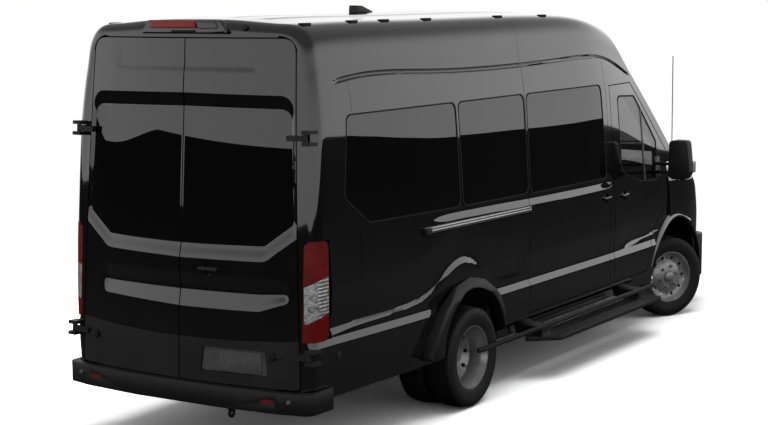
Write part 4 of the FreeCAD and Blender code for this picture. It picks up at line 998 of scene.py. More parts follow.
leaves = walled("leaves", leaf_sheet(0.0, True), leaf_sheet(wall, False))
cover_line = [(y, cover_top + cover_rise * (y / 0.86) ** 2) for y in np.linspace(-0.95, 0.95, 21)]
cover_zone, cover_zone_wide = (
    prism([(y, z + rise) for y, z in cover_line] + [(0.95, 0.2), (-0.95, 0.2)], "x", *through_rear)
    for rise in (0.0, cover_gap))
dish = on_rear(ring_outline(*handle_place, dish_radius), -0.05, dish_depth)
plate_cut = on_rear(plate_recess, -0.05, dish_depth, 0.02)
rear_tint = tinted("rear_privacy_glass")
x, y, z = rear_tint.axes()
rear_tint.bump((0.0455 - y.soft(0.15, 0.60) * 0.012 + y.soft(0.66, 0.82) * 0.024) * (z - 1.73), 1.0)
rear_glass_sheet = walled("rear_glass_sheet", leaf_sheet(recess_depth + 0.0005, False),
                          leaf_sheet(recess_depth + 0.0065, False))
for label, turn in (("left", 1), ("right", -1)):
    body = "rear_door_" + label
    outline = [(leaf_split, rear_low), (leaf_half_low, rear_low), (leaf_half_high, rear_top),
               (leaf_split, rear_top)]
    zone = prism([(y * turn, z) for y, z in outline], "x", *through_rear, [0, 0.03, 0.09, 0])
    pane = [(y * turn, z) for y, z in leaf_pane]
    hole = prism(pane, "x", *through_rear, pane_round)
    glass_zone = prism(grown(pane, -0.0004), "x", *through_rear, pane_round)
    leaf = common(leaves, zone, body + "_skin")
    cover = cut(common(leaf, cover_zone, body + "_cover"), [plate_cut] if turn < 0 else [])
    leaf = cut(leaf, [cover_zone_wide, hole] + ([dish] if turn < 0 else []))
    dress(leaf, body, paint, "paint", body)
    dress(cover, body, trim, "black_trim")
    glass = common(rear_glass_sheet, glass_zone, "rear_glass_" + label + "_pane")
    dress(glass, body, rear_tint, "dark_glass", "rear_glass_" + label)
    discard(zone, hole, glass_zone)
discard(leaves, rear_glass_sheet, cover_zone, cover_zone_wide, dish, plate_cut)

# The number plate is a blank grey sheet on a panel let into the right door's cover. Two round rubber
# stops stand on short moulded brackets low on the doors.
plate_finish = Finish("plate_grey", Specular_IOR_Level=0.4)
plate_dust = plate_finish.noise(30, 4).soft(0.35, 0.7)
plate_finish.clouded(plate_dust, (0.115, 0.115, 0.117), (0.145, 0.145, 0.147), 0.1, 0.42)
plate_finish.bump(plate_finish.noise(500, 2), 0.0001, 0.4)
holder = on_rear(grown(plate_recess, -0.004), dish_depth - 0.003, dish_depth + 0.002, 0.02, "plate_panel")
dress(holder, "rear_door_right", plate_finish, "black_trim")
plate = on_rear(plate_outline, dish_depth - 0.007, dish_depth - 0.001, 0.012, "number_plate", 0.0015)
dress(plate, "rear_door_right", plate_finish, "black_trim")
for i, (y, z) in enumerate(stop_places):
    body, turn = ("rear_door_left", 1) if y > 0 else ("rear_door_right", -1)
    knob = on_rear(ring_outline(y, z, 0.024), -0.016, 0.004, name="stop_knob_" + str(i + 1), bevel=0.005)
    dress(knob, body, rubber, "black_trim")
    arm = [(y + turn * 0.055, z - 0.010), (y + turn * 0.055, z + 0.010), (y, z + 0.012), (y, z - 0.012)]
    bracket = on_rear(arm, -0.007, 0.003, 0.004, "stop_bracket_" + str(i + 1), 0.002)
    dress(bracket, body, trim, "black_trim")

# The door handles are moulded pulls screwed to the doors, black on the rear door and painted elsewhere.
# The construction already shapes them: loose faces are joined, to shade smoothly, and edges eased.


def refined(node, body, finish, slot, degrees=32, bevel=0.0):
    """The construction's own form of the node, joined up, with its edges eased by the bevel."""
    work = bmesh.new()
    work.from_mesh(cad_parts[node].data)
    bmesh.ops.remove_doubles(work, verts=work.verts, dist=0.00005)
    bmesh.ops.dissolve_limit(work, angle_limit=math.radians(0.6), verts=work.verts, edges=work.edges)
    piece = made(work, node + "_skin")
    if bevel:
        ease = piece.modifiers.new("ease", "BEVEL")
        ease.width = bevel
        ease.segments = 2
        ease.limit_method = "ANGLE"
        ease.angle_limit = math.radians(34)
        ease.use_clamp_overlap = True
        applied(piece)
    return dress(piece, body, finish, slot, node, degrees=degrees)


refined("rear_door_handle", "rear_door_right", trim, "black_trim", bevel=0.002)
refined("slide_door_handle", "body", paint, "paint", bevel=0.002)
refined("handle_front_right", "front_door_right", paint, "paint", bevel=0.002)
refined("handle_front_left", "front_door_left", paint, "paint", bevel=0.002)

# The tail lamps are tall moulded lenses round the rear corners: deep red, with a slanted clear window
# for the indicator and reversing lights over ribbed reflectors.
lamp_bottom = 0.764
lamp_top = 1.373
lamp_inner = 0.881
clear_slope = 0.40
clear_low = 0.872
clear_high = 1.098
clear_reach = 0.152
lamp_sheet = plain_sheet("lamp_sheet", -0.004, 0.046)
lamp_zone = prism(rectangle(-3.42, -3.060, lamp_bottom, lamp_top), "y", -far, -lamp_inner, 0.05)
lamp = cut(common(lamp_sheet, lamp_zone, "lamp_right"), [lamp_corner])
# The clear window's edges run straight as they are seen from the viewpoint
view_ahead = Vector((math.cos(camera_yaw), math.sin(camera_yaw), 0))
lamp_foot = Vector((rear_x(lamp_inner, 0.95), -lamp_inner, 0))
clear_climb = clear_slope * clear_reach
clear_outline = [(0.006, clear_low), (clear_reach, clear_low + clear_climb),
                 (clear_reach, clear_high + clear_climb), (0.006, clear_high)]
clear_zone = prism(clear_outline, "y", -0.4, 0.6, 0.008)
for point in clear_zone.data.vertices:
    across, depth, height = point.co
    point.co = lamp_foot + level_right * across + view_ahead * depth + Vector((0, 0, height))
clear = common(lamp, clear_zone, "lamp_clear_right")
red = cut(lamp, [clear_zone])
red_lens = Finish("lamp_red", Coat_Weight=0.15, Coat_Roughness=0.02, Specular_IOR_Level=0.3)
cells = red_lens.cells(150.0)
clouds = red_lens.noise(9, 3).soft(0.35, 0.7)
deep = red_lens.blend(clouds, (0.085, 0.001, 0.001), (0.26, 0.004, 0.003))
red_lens.set("Base Color", red_lens.blend(cells.soft(0.1, 0.7) * 0.6, deep, (0.36, 0.006, 0.005)))
red_lens.set("Roughness", cells * 0.2 + 0.10)
red_lens.bump(cells, 0.0015, 0.6)
clear_lens = Finish("lamp_clear", Coat_Weight=1.0, Coat_Roughness=0.02)
x, y, z = clear_lens.axes()
ribs = (z * 285.0).math("SINE")
patches = clear_lens.noise(34, 4, 0.65).soft(0.28, 0.62)
steel = clear_lens.blend(patches, (0.22, 0.22, 0.23), (0.85, 0.85, 0.86))
outer_third = x.soft(-3.165, -3.150)
lines = (ribs * 0.5 + 0.5).soft(0.55, 0.95) * outer_third
clear_lens.set("Base Color", clear_lens.blend(lines * 0.8, steel, (0.10, 0.10, 0.105)))
clear_lens.set("Metallic", patches * 0.5)
clear_lens.set("Roughness", patches * 0.15 + 0.12)
clear_lens.bump(ribs * outer_third + patches, 0.0012, 0.6)
dress_both(red, "body", red_lens, "red_lens", "tail_lamps")
dress_both(clear, "body", clear_lens, "clear_lens")
discard(lamp_sheet, lamp_zone, clear_zone, lamp_corner)

# The high stop lamp sits in a moulded pod over the doors, with the red lens to the left of a dark
# camera window, and a small washer knob beside it.
pod = on_rear([(-0.345, 2.600), (0.345, 2.600), (0.285, 2.684), (-0.285, 2.684)], -0.030, 0.020, 0.018,
              "stop_lamp_pod", 0.008)
dress(pod, "body", paint, "black_trim", "high_stop_lamp")
stop = on_rear([(-0.105, 2.636), (0.275, 2.636), (0.235, 2.678), (-0.085, 2.678)], -0.034, -0.020, 0.008,
               "stop_lamp_lens", 0.002)
stop_red = Finish("stop_red", Coat_Weight=0.3, Coat_Roughness=0.03, Specular_IOR_Level=0.3)
stop_red.faceted(120.0, (0.58, 0.020, 0.020), (0.34, 0.008, 0.008), 0.15)
dress(stop, "body", stop_red, "red_lens")
eye = on_rear([(-0.275, 2.632), (-0.120, 2.632), (-0.105, 2.676), (-0.245, 2.676)], -0.033, -0.020, 0.010,
              "camera_window", 0.002)
dress(eye, "body", privacy, "dark_glass")
slot = on_rear([(-0.09, 2.611), (0.09, 2.611), (0.085, 2.622), (-0.085, 2.622)], -0.0315, -0.020, 0.004,
               "pod_slot", 0.001)
dress(slot, "body", rubber, "black_trim")
knob = on_rear(ring_outline(-0.440, 2.640, 0.022), -0.014, 0.010, name="washer_knob", bevel=0.006)
dress(knob, "body", trim, "black_trim")

# The rear bumper is one grained plastic moulding with a flat step, four parking sensors and two red
# reflectors set into its face.
refined("rear_bumper", "body", trim, "black_trim", bevel=0.006)
sensor_finish = Finish("sensor_grey", colour=(0.20, 0.20, 0.20), Metallic=0.2)
sensor_finish.set("Roughness", sensor_finish.noise(300, 2) * 0.2 + 0.3)
sensor_places = ((-0.828, -3.305, 0.409), (0.828, -3.305, 0.409),
                 (-0.279, -3.3475, 0.405), (0.279, -3.3475, 0.405))
sensor_radius = 0.013
for i, (y, x, z) in enumerate(sensor_places):
    face = ring_outline(y, z, sensor_radius)
    sensor = prism(face, "x", x - 0.004, x + 0.03, name="sensor_" + str(i + 1), bevel=0.002)
    dress(sensor, "body", sensor_finish, "black_trim")
# Raised ribs run across the step
step_places = (0.030, 0.019, 0.008, -0.003, -0.014)
step_half = 0.70
step_face = (0.455, 0.4635)
for i, depth in enumerate(step_places):
    line = [(rear_x(y, 0.46) + depth, y) for y in np.linspace(-step_half, step_half, 15)]
    back_line = [(x + 0.004, y) for x, y in reversed(line)]
    strip = prism(line + back_line, "z", *step_face, name="step_rib_" + str(i + 1))
    dress(strip, "body", rubber, "black_trim")

reflector_red = Finish("reflector_red", Coat_Weight=1.0, Coat_Roughness=0.03)
reflector_red.faceted(220.0, (0.42, 0.020, 0.020), (0.25, 0.010, 0.010), 0.12)


def coat(finish, *nodes):
    """Gives the material to nodes whose own shape stays."""
    for node in nodes:
        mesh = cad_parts[node].data
        mesh.materials.clear()
        mesh.materials.append(finish.material)


coat(reflector_red, "reflectors")

# The rear doors hang on forked brackets and long straps, bolted through the body and the leaves and
# coated black. They stand clear of the skin, so that the doors swing right round to the sides.
coat(trim, "hinge_brackets", "hinge_straps_left", "hinge_straps_right")

# A round plastic cap is pressed into each rear quarter low down, and black rubber plugs close the holes
# along the roof where a rack would bolt on. A moulded fin stands on the roof.
cap_place = (-2.950, 0.648)
cap_radius = 0.024
cap_y = side_y(*cap_place)
cap = disc(*cap_place, cap_radius, cap_y - 0.006, cap_y + 0.02, 40, name="quarter_cap_right", bevel=0.003)
dress_both(cap, "body", trim, "black_trim")
plug_places = (-2.96, -2.45, -2.08, -1.55, -0.55, 0.15)
plug_y = -0.750
plug_half_x = 0.045
plug_half_y = 0.020
for i, x in enumerate(plug_places):
    ys, zs, run = section(x)
    top = float(np.interp(-plug_y, -ys[::-1], zs[::-1]))
    outline = rectangle(x - plug_half_x, x + plug_half_x, plug_y - plug_half_y, plug_y + plug_half_y)
    plug = prism(outline, "z", top - 0.02, top + 0.009, 0.008, "roof_plug_right_" + str(i + 1), 0.002)
    dress_both(plug, "body", rubber, "black_trim")
refined("roof_fin", "body", trim, "black_trim", degrees=60, bevel=0.006)

# The sliding door's upper rail is an extruded metal track with grooves along it, let into the side, with
# a dark end stop at its tail.
rail_finish = Finish("rail_bright", Metallic=0.75)
x, y, z = rail_finish.axes()
stripe = ((z + x * 0.0136) * 330.0).math("SINE")
brushed = rail_finish.noise(60, 3)
# The lighter and darker stripes along the grooves are painted highlight on each ridge and painted shade
# in each groove
painted_groove_shade_and_highlight = (stripe * 0.5 + 0.5).soft(0.25, 0.8)
rail_finish.set("Base Color", rail_finish.blend(painted_groove_shade_and_highlight, (0.30, 0.30, 0.305), (0.80, 0.80, 0.81)))
rail_finish.set("Roughness", brushed * 0.2 + 0.26)
rail_finish.bump(stripe, 0.0015, 0.7)
refined("door_track", "body", rail_finish, "rail_metal", bevel=0.002)
stop_outline = [(-1.993, 1.312), (-1.993, 1.266), (-1.930, 1.2645), (-1.930, 1.3105)]
rail_stop = prism(stop_outline, "y", -1.0205, -0.985, 0.006, "rail_stop", 0.003)
dress(rail_stop, "body", trim, "black_trim")

# Wide flares of grained plastic are fixed to the sides over the twin rear wheels, and long black boards
# to step on hang below the sills.
refined("rear_flares", "body", trim, "black_trim", degrees=40, bevel=0.005)
refined("running_boards", "body", trim, "black_trim", degrees=30, bevel=0.002)

# The mirrors are housings of grained plastic on thick arms, with a small lamp let into the outer edge.
# The aerial is a thin black whip.
refined("mirror_right", "body", trim, "black_trim", degrees=40, bevel=0.010)
refined("mirror_left", "body", trim, "black_trim", degrees=40, bevel=0.010)
mirror_outline = [(1.690, 1.345), (1.735, 1.345), (1.735, 1.440), (1.690, 1.425)]
mirror_lamp = prism(mirror_outline, "y", -1.3715, -1.345, 0.008, "mirror_lamp_right", 0.003)
mirror_lens = Finish("lamp_amber", Coat_Weight=1.0, Coat_Roughness=0.03)
swirl = mirror_lens.noise(60, 3)
mirror_lens.clouded(swirl, (0.55, 0.54, 0.52), (0.70, 0.69, 0.66), 0.2, 0.1)
dress_both(mirror_lamp, "body", mirror_lens, "clear_lens")
coat(rubber, "aerial_mast")

# The nose has a hinged bonnet and wings of pressed steel in the body's paint, a moulded black bumper
# and grille bolted below, and tall clear headlamps with bright bowls.
refined("hood", "hood", paint, "paint", degrees=28)
refined("wings_and_cowl", "body", paint, "paint", degrees=28)
refined("nose_panel", "body", paint, "paint", degrees=28)
# A pressed lip runs round each front wheel arch
lip_section = ((0.541, 0.020), (0.541, -0.013), (0.556, -0.015), (0.600, 0.003), (0.600, 0.020))
lip_turns = [math.radians(turn) for turn in range(12, 163, 5)]
lip = bmesh.new()
loops = []
for turn in lip_turns:
    loop = []
    for radius, depth in lip_section:
        x, z = lip_middle[0] + radius * math.cos(turn), lip_middle[1] + radius * math.sin(turn)
        loop.append(lip.verts.new((x, side_y(min(x, 2.60), max(z, 0.6)) + depth, z)))
    loops.append(loop)
for first, second in zip(loops, loops[1:]):
    for i in range(len(lip_section)):
        j = (i + 1) % len(lip_section)
        lip.faces.new((first[i], first[j], second[j], second[i]))
lip.faces.new(loops[0])
lip.faces.new(loops[-1][::-1])
bmesh.ops.recalc_face_normals(lip, faces=lip.faces)
arch_lip = made(lip, "arch_lip_right")
dress_both(arch_lip, "body", paint, "paint", degrees=40)
refined("front_bumper", "body", trim, "black_trim", degrees=30, bevel=0.006)
refined("grille", "body", trim, "black_trim", degrees=30)
# The radiator's panel stands behind the grille and the bumper's air opening
radiator = prism(rectangle(-0.80, 0.80, 0.31, 0.975), "x", 2.955, 2.970, name="radiator")
dress(radiator, "body", rubber, "black_trim")
head_lens = Finish("lamp_front", Coat_Weight=1.0, Coat_Roughness=0.01)
x, y, z = head_lens.axes()
bowl = head_lens.noise(14, 3, 0.6).soft(0.35, 0.65)
flute = (y * 260.0).math("SINE")
head_lens.clouded(bowl, (0.08, 0.08, 0.085), (0.60, 0.60, 0.62), 0.1, 0.08)
head_lens.set("Metallic", bowl * 0.6)
head_lens.bump(flute, 0.0008, 0.5)
refined("headlamps", "body", head_lens, "clear_lens", degrees=30, bevel=0.004)

# The windscreen is laminated glass with a black printed border, and two wipers rest along its foot.
border_low = 1.485
border_high = 2.36
border_half = 0.735
border_lean = 0.1414
screen = Finish("screen_glass", Coat_Weight=1.0, Coat_Roughness=0.0)
x, y, z = screen.axes()
edge = (z < border_low).math("MAXIMUM", z > border_high)
side_edge = y.math("ABSOLUTE") + (z - 1.43) * border_lean
border = edge.math("MAXIMUM", side_edge > border_half)
film = screen.noise(3, 3)
screen.set("Base Color", screen.blend(border, (0.006, 0.007, 0.007), (0.002, 0.002, 0.002)))
screen.set("Roughness", film * 0.01 + 0.005)
screen.set("Alpha", border * 0.52 + film * 0.02 + 0.46)
refined("windscreen", "body", screen, "dark_glass", degrees=30)


def tube(name, points, radius, sides=4):
    """A round bar along a smooth run of points."""
    curve = bpy.data.curves.new(name, "CURVE")
    curve.dimensions = "3D"
    line = curve.splines.new("NURBS")
    line.points.add(len(points) - 1)
    for point, place in zip(line.points, points):
        point.co = (*place, 1)
    line.order_u = 3
    line.use_endpoint_u = True
    curve.bevel_depth = radius
    curve.bevel_resolution = sides
    curve.use_fill_caps = True
    holder = bpy.data.objects.new(name, curve)
    scene.collection.objects.link(holder)
    graph = bpy.context.evaluated_depsgraph_get()
    graph.update()
    mesh = bpy.data.meshes.new_from_object(holder.evaluated_get(graph))
    bpy.data.objects.remove(holder)
    piece = bpy.data.objects.new(name, mesh)
    scene.collection.objects.link(piece)
    return piece


def screen_x(y, z):
    """Where the windscreen lies along the vehicle."""
    return screen_foot_x - screen_bow * (y / screen_half) ** 2 - (z - screen_foot_z) / screen_rise


# The wipers, as places (y, z) on the windscreen
wiper_feet = ((0.62, 1.445), (-0.02, 1.445))
wiper_run = Vector((-0.60, 0.045))
blade_rise = 0.035
for i, foot in enumerate(wiper_feet):
    run = [Vector(foot) + wiper_run * share for share in (0, 0.2, 0.5, 0.8, 1)]
    arm = tube("wiper_arm_" + str(i + 1), [(screen_x(y, z) + 0.022, y, z) for y, z in run], 0.007)
    dress(arm, "body", rubber, "black_trim")
    run = [(y, z + blade_rise) for y, z in run]
    blade = tube("wiper_blade_" + str(i + 1), [(screen_x(y, z) + 0.010, y, z) for y, z in run], 0.006)
    dress(blade, "body", rubber, "black_trim")

# The tyres are van tyres: four grooves round the tread, sipes across its ribs, and fine rings on the
# sidewalls.
tyre_radius = 0.3495
tyre_half = 0.099
rim_radius = 0.2223
tyre_steps = 132
tread_grooves = (0.16, 0.52)
crown_shares = {0.76, 0.64, 0.34, 0.25}
crown_drop = 0.008
groove_half = 0.035
groove_depth = 0.008
sipe_depth = 0.004
sipe_floor = 0.338
sipe_bands = ((0.22, 0.46), (0.58, 0.86))
front_track_half = 0.866
kingpin_y = 0.826
steer_right = math.radians(-27.5)
steer_left = math.radians(-24.5)
twin_outer = 0.950
twin_inner = 0.720


def tyre_profile():
    """Half the section, bead to crown, as places (y, r)."""
    bead = [(0.80, rim_radius + 0.0003), (0.875, rim_radius + 0.001), (0.905, rim_radius + 0.006),
            (0.925, 0.238), (0.955, 0.252), (0.985, 0.270), (1.000, 0.288), (0.998, 0.296),
            (0.990, 0.300), (0.992, 0.303), (0.985, 0.306), (0.972, 0.311), (0.958, 0.3155),
            (0.925, 0.3225), (0.880, 0.3345), (0.820, 0.3410)]
    edges = {groove + side for groove in tread_grooves for side in (-groove_half, groove_half)}
    crown = []
    for share in sorted(crown_shares | edges, reverse=True):
        height = tyre_radius - crown_drop * (share / 0.80) ** 2
        near_groove = [g for g in tread_grooves if abs(abs(share - g) - groove_half) < 1e-6]
        if near_groove and share > near_groove[0]:
            crown += [(share, height), (share - 0.012, height - groove_depth)]
        elif near_groove:
            crown += [(share + 0.012, height - groove_depth), (share, height)]
        else:
            crown.append((share, height))
    return [(share * tyre_half, radius) for share, radius in bead + crown]


def looped(work, places):
    """New corners at the places and the edges that join them in a ring."""
    corners = [work.verts.new(place) for place in places]
    return corners, [work.edges.new((corners[i - 1], corners[i])) for i in range(len(corners))]


def spun(profile, steps):
    """A closed ring from a closed profile of (y, r), turned about the axle."""
    work = bmesh.new()
    corners, edges = looped(work, [(0, y, r) for y, r in profile])
    bmesh.ops.spin(work, geom=corners + edges, cent=(0, 0, 0), axis=(0, 1, 0), angle=2 * math.pi,
                   steps=steps, use_merge=True)
    bmesh.ops.remove_doubles(work, verts=work.verts, dist=0.00001)
    bmesh.ops.recalc_face_normals(work, faces=work.faces)
    return work


def tyre_work():
    """One tyre about its own middle, with sipes sunk into its ribs."""
    half = tyre_profile()
    work = spun(half + [(-y, r) for y, r in reversed(half)], tyre_steps)
    ribs = []
    for face in work.faces:
        middle = face.calc_center_median()
        share = abs(middle.y) / tyre_half
        reach = math.hypot(middle.x, middle.z)
        step = round((math.atan2(middle.z, middle.x) / (2 * math.pi) % 1) * tyre_steps - 0.5)
        on_rib = reach > sipe_floor and any(low < share < high for low, high in sipe_bands)
        if on_rib and (step + (1 if share < 0.5 else 0)) % 3 == 0:
            ribs.append(face)
    cells = bmesh.ops.extrude_discrete_faces(work, faces=ribs)["faces"]
    for face in cells:
        middle = face.calc_center_median()
        inward = Vector((middle.x, 0, middle.z)).normalized() * -sipe_depth
        bmesh.ops.translate(work, vec=inward, verts=face.verts)
    return work


tyre_finish = Finish("tyre_rubber", Specular_IOR_Level=0.35)
grime = tyre_finish.noise(14, 4).soft(0.35, 0.70)
speck = tyre_finish.noise(420, 2)
tyre_finish.clouded(grime, (0.0105, 0.0105, 0.011), (0.020, 0.020, 0.0205), 0.15, 0.55)
tyre_finish.bump(speck, 0.0003, 0.5)


def steered(side):
    """Where a front wheel's own middle goes: out from its kingpin, turned with it."""
    angle = steer_right if side < 0 else steer_left
    pin = Vector((front_axle, side * kingpin_y, 0))
    offset = Vector((0, side * (front_track_half - kingpin_y), tyre_height))
    return Matrix.Translation(pin) @ Matrix.Rotation(angle, 4, "Z") @ Matrix.Translation(offset)


def straight(y):
    """Where a rear wheel's own middle goes."""
    return Matrix.Translation((rear_axle, y, tyre_height))


wheel_sets = (
    ("front_right", "wheel_front_right", [steered(-1)], "tyre_front_right"),
    ("front_left", "wheel_front_left", [steered(1)], "tyre_front_left"),
    ("rear_right", "wheels_rear_right", [straight(-twin_outer), straight(-twin_inner)],
     "tyres_rear_right"),
    ("rear_left", "wheels_rear_left", [straight(twin_outer), straight(twin_inner)], "tyres_rear_left"),
)


def gathered(make, places, name):
    """One piece of the same form at each of the places."""
    work = bmesh.new()
    for place in places:
        one = make()
        bmesh.ops.transform(one, matrix=place, verts=one.verts)
        mesh = bpy.data.meshes.new("one")
        one.to_mesh(mesh)
        one.free()
        work.from_mesh(mesh)
        bpy.data.meshes.remove(mesh)
    return made(work, name)


for name, body, places, node in wheel_sets:
    dress(gathered(tyre_work, places, "tyres_" + name), body, tyre_finish, "tyre", node, degrees=40)

# The wheels are pressed steel, painted silver: a rim and a dished disc with ten round holes, held on by
# six nuts round the hub. On the twins the outer disc is set deep, and a domed axle end fills its middle.
wheel_steel = Finish("wheel_silver", Metallic=0.55, Coat_Weight=0.3, Coat_Roughness=0.15)
cloud = wheel_steel.noise(7, 4).soft(0.30, 0.75)
pits = wheel_steel.noise(260, 2)
wheel_steel.clouded(cloud, (0.36, 0.36, 0.37), (0.50, 0.50, 0.51), 0.12, pits * 0.08 + 0.26)
wheel_steel.bump(pits, 0.0001, 0.4)
for node, body in (("rim_front_right", "wheel_front_right"), ("rim_front_left", "wheel_front_left"),
                   ("rims_rear_right", "wheels_rear_right"), ("rims_rear_left", "wheels_rear_left")):
    refined(node, body, wheel_steel, "silver_steel", degrees=28)

nut_circle = 0.0925
nut_radius = 0.0155
nut_height = 0.020
nuts = 6
front_hub_face = 0.056
rear_hub_face = -0.103


def hub_work(face, dome, side):
    """Six nuts and a domed cap on the hub, which looks along +Y or -Y from the wheel's middle."""
    work = bmesh.new()
    for i in range(nuts):
        angle = 2 * math.pi * (i + 0.25) / nuts
        centre = Vector((math.cos(angle) * nut_circle, side * (face + nut_height / 2),
                         math.sin(angle) * nut_circle))
        spot = Matrix.Translation(centre) @ Matrix.Rotation(math.radians(-90 * side), 4, "X")
        bmesh.ops.create_cone(work, cap_ends=True, segments=6, radius1=nut_radius,
                              radius2=nut_radius * 0.92, depth=nut_height, matrix=spot)
        tip = Matrix.Translation(centre + Vector((0, side * nut_height / 2, 0)))
        bmesh.ops.create_uvsphere(work, u_segments=16, v_segments=8, radius=nut_radius * 0.66, matrix=tip)
    rings = [looped(work, [(x, side * (face + height), z) for x, z in ring_outline(0, 0, radius, 48)])
             for radius, height in dome]
    for inner, outer in zip(rings, rings[1:]):
        bmesh.ops.bridge_loops(work, edges=inner[1] + outer[1])
    work.faces.new(rings[0][0])
    work.faces.new(rings[-1][0])
    bmesh.ops.recalc_face_normals(work, faces=work.faces)
    return work


cap_dome = ((0.018, 0.030), (0.034, 0.027), (0.044, 0.020), (0.050, 0.008), (0.051, 0.0))
axle_dome = ((0.030, 0.075), (0.048, 0.070), (0.058, 0.055), (0.064, 0.020), (0.078, 0.012), (0.080, 0.0))
for name, body, places, node in wheel_sets:
    side = -1 if "right" in name else 1
    face, dome = (front_hub_face, cap_dome) if "front" in name else (rear_hub_face, axle_dome)
    hub = gathered(lambda: hub_work(face, dome, side), places[:1], "hub_nuts_" + name)
    dress(hub, body, wheel_steel, "silver_steel", degrees=35)

# The seats are moulded foam in dark woven cloth, bolted down on boxed bases: a crowned cushion, a back
# and a head restraint, with sewn channels across. Each form is swelled once as cloth, and every seat is
# a copy of it.
seat_low = 0.7003
cushion_low = 1.010
cushion_high = 1.130
cushion_half_x = 0.250
cushion_half_y = 0.240
back_outline = ((-0.210, 0.310), (-0.120, 0.410), (-0.290, 0.960), (-0.380, 0.960))
rest_outline = ((-0.290, 0.930), (-0.305, 1.130), (-0.375, 1.130), (-0.375, 0.930))
rest_half = 0.140
base_half = 0.060
base_shift = 0.16
base_back = 0.19
base_front = 0.17
pan_half_x = 0.22
pan_half_y = 0.21
shrink = 0.014
swell_cap = 0.024
seat_voxel = 0.0215
frames = 20
channel_depth = 0.005
channel_half = 0.009
channel_reach = 0.210
front_seat_places = ((1.330, 0.520), (1.330, -0.520))
rows = (0.430, -0.370, -1.170, -1.970, -2.600)
files = (0.640, 0.130, -0.640)

cloth = Finish("seat_cloth_dark", Sheen_Weight=0.25)
x, y, z = cloth.axes()
warp = ((x + z) * 1900.0).math("SINE")
weft = (y * 1900.0).math("SINE")
weave = warp * weft * 0.5 + 0.5
faded = cloth.noise(5, 4).soft(0.35, 0.75)
cloth.set("Base Color", cloth.blend(faded, (0.022, 0.022, 0.024), (0.036, 0.036, 0.039)))
cloth.set("Roughness", weave * 0.15 + 0.75)
cloth.bump(weave, 0.0006, 0.5)


def swelled(block, name, channels):
    """A padded form: the block in even cells, blown up as cloth by a capped amount, then channelled."""
    work = bmesh.new()
    work.from_mesh(block.data)
    bmesh.ops.bevel(work, geom=work.edges, offset=0.022, segments=3, profile=0.5, affect="EDGES",
                    material=-1, clamp_overlap=True)
    piece = made(work, name)
    discard(block)
    cells = piece.modifiers.new("cells", "REMESH")
    cells.mode = "VOXEL"
    cells.voxel_size = seat_voxel
    applied(piece)
    before = [point.co.copy() for point in piece.data.vertices]
    swell = piece.modifiers.new("swell", "CLOTH")
    swell.settings.use_pressure = True
    swell.settings.uniform_pressure_force = 4
    swell.settings.effector_weights.gravity = 0
    for frame_number in range(1, frames + 1):
        scene.frame_set(frame_number)
    applied(piece)
    scene.frame_set(1)
    for point, start in zip(piece.data.vertices, before):
        move = point.co - start
        if move.length > swell_cap:
            point.co = start + move.normalized() * swell_cap
    fine = piece.modifiers.new("fine", "SUBSURF")
    fine.levels = 1
    fine.render_levels = 1
    applied(piece)
    middle = Vector((sum(v.x for v in before), 0, sum(v.z for v in before))) / len(before)
    for point in piece.data.vertices:
        for place, along in channels:
            away = (point.co.x - place[0]) * along[0] + (point.co.z - place[1]) * along[1]
            away /= channel_half
            if abs(away) < 3 and abs(point.co.y) < channel_reach:
                inward = Vector((middle.x - point.co.x, 0, middle.z - point.co.z))
                point.co += inward.normalized() * channel_depth * math.exp(-away * away)
    return piece


def at_place(form, name, x, y, *nodes):
    """A copy of the form on the seat at the place."""
    piece = copied(form, name)
    work = bmesh.new()
    work.from_mesh(piece.data)
    bmesh.ops.translate(work, vec=Vector((x, y, 0)), verts=work.verts)
    work.to_mesh(piece.data)
    work.free()
    return dress(piece, "body", cloth, "seat_cloth", *nodes, degrees=80)


def side_block(outline, half, inset):
    """A seat part's block, smaller by the inset that the swelling fills."""
    shape = grown([(a, b + seat_low) for a, b in outline], -inset)
    return prism(shape, "y", -half + inset, half - inset)


cushion_outline = rectangle(-cushion_half_x, cushion_half_x,
                            cushion_low - seat_low, cushion_high - seat_low)
cushion = swelled(side_block(cushion_outline, cushion_half_y, shrink), "cushion_form",
                  [((x, 0), (1, 0)) for x in (-0.10, 0.0, 0.10)])
back = swelled(side_block(back_outline, cushion_half_y, shrink), "back_form",
               [((-0.2, z), (0.29, 0.96)) for z in (1.25, 1.37, 1.49)])
rest = swelled(side_block(rest_outline, rest_half, shrink * 0.8), "rest_form", [])
spots = [(x, y, "front") for x, y in front_seat_places] + [(x, y, "row") for x in rows for y in files]
for i, (x, y, kind) in enumerate(spots):
    label = "seat_" + str(i + 1)
    nodes = ["front_seats"] if i == 0 else ["passenger_seats"] if i == len(front_seat_places) else []
    for form, part in ((cushion, "_cushion"), (back, "_back"), (rest, "_rest")):
        at_place(form, label + part, x, y, *(nodes if form is cushion else []))
    # Bases beside a wall stand in from it, clear of the wheelhouses
    middle = y - math.copysign(base_shift, y) if abs(y) > 0.3 and kind == "row" else y
    foot_outline = rectangle(x - base_back, x + base_front, middle - base_half, middle + base_half)
    foot = prism(foot_outline, "z", seat_low, cushion_low + 0.002, 0.02, label + "_base", 0.004)
    dress(foot, "body", trim, "cabin_plastic")
    pan_outline = rectangle(x - pan_half_x, x + pan_half_x, y - pan_half_y, y + pan_half_y)
    pan = prism(pan_outline, "z", cushion_low - 0.012, cushion_low + 0.006, 0.03, label + "_pan", 0.003)
    dress(pan, "body", trim, "cabin_plastic")
discard(cushion, back, rest)

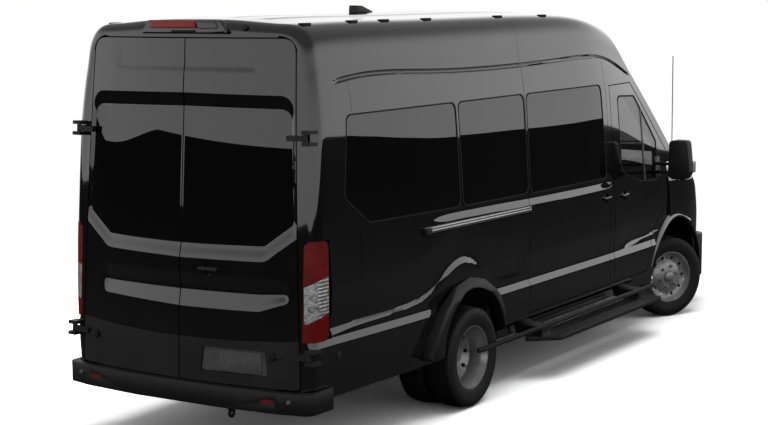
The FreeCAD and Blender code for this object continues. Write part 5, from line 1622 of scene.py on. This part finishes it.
# The dashboard is one grained plastic moulding right across the cabin, and the steering wheel is of the
# same plastic. The floor is covered with ribbed rubber, glued down.
cabin = Finish("cabin_grey", Specular_IOR_Level=0.35)
leather = cabin.cells(320.0)
worn = cabin.noise(6, 4).soft(0.35, 0.75)
cabin.clouded(worn, (0.024, 0.024, 0.026), (0.036, 0.036, 0.038), 0.1, 0.5)
cabin.bump(leather, 0.0006, 0.5)
refined("dashboard", "body", cabin, "cabin_plastic", bevel=0.012)
refined("steering_wheel", "body", cabin, "cabin_plastic", degrees=60)
lining = Finish("floor_rubber", Specular_IOR_Level=0.3)
x, y, z = lining.axes()
rib = (y * 420.0).math("SINE")
scuffs = lining.noise(8, 4).soft(0.35, 0.7)
lining.clouded(scuffs, (0.020, 0.020, 0.021), (0.038, 0.037, 0.036), 0.1, 0.6)
lining.bump(rib, 0.001, 0.5)
coat(lining, "floor")

# Below the floor everything is painted or cast metal: rails in black chassis paint, cast knuckles and
# axle, a plain cast engine, and a stainless exhaust.


def metal(name, dark, light, metallic, rough, scale):
    """A worn metal or painted part: two tones in clouds, with fine pits."""
    finish = Finish(name, Metallic=metallic)
    clouds = finish.noise(scale, 5, 0.6).soft(0.35, 0.70)
    pits = finish.noise(scale * 40, 2)
    finish.clouded(clouds, dark, light, 0.15, pits * 0.10 + rough)
    finish.bump(pits, 0.0004, 0.4)
    return finish


chassis = metal("chassis_paint", (0.008, 0.008, 0.008), (0.018, 0.017, 0.016), 0.0, 0.45, 5)
casting = metal("cast_iron", (0.05, 0.05, 0.05), (0.11, 0.10, 0.095), 0.6, 0.45, 8)
block_metal = metal("engine_alloy", (0.10, 0.10, 0.10), (0.19, 0.19, 0.185), 0.7, 0.40, 7)
stainless = metal("pipe_steel", (0.20, 0.19, 0.18), (0.36, 0.35, 0.33), 0.9, 0.28, 6)
coat(chassis, "chassis_rails", "front_suspension", "leaf_springs")
coat(casting, "knuckle_left", "knuckle_right", "rear_axle")
coat(block_metal, "engine")
coat(stainless, "exhaust")

low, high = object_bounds()
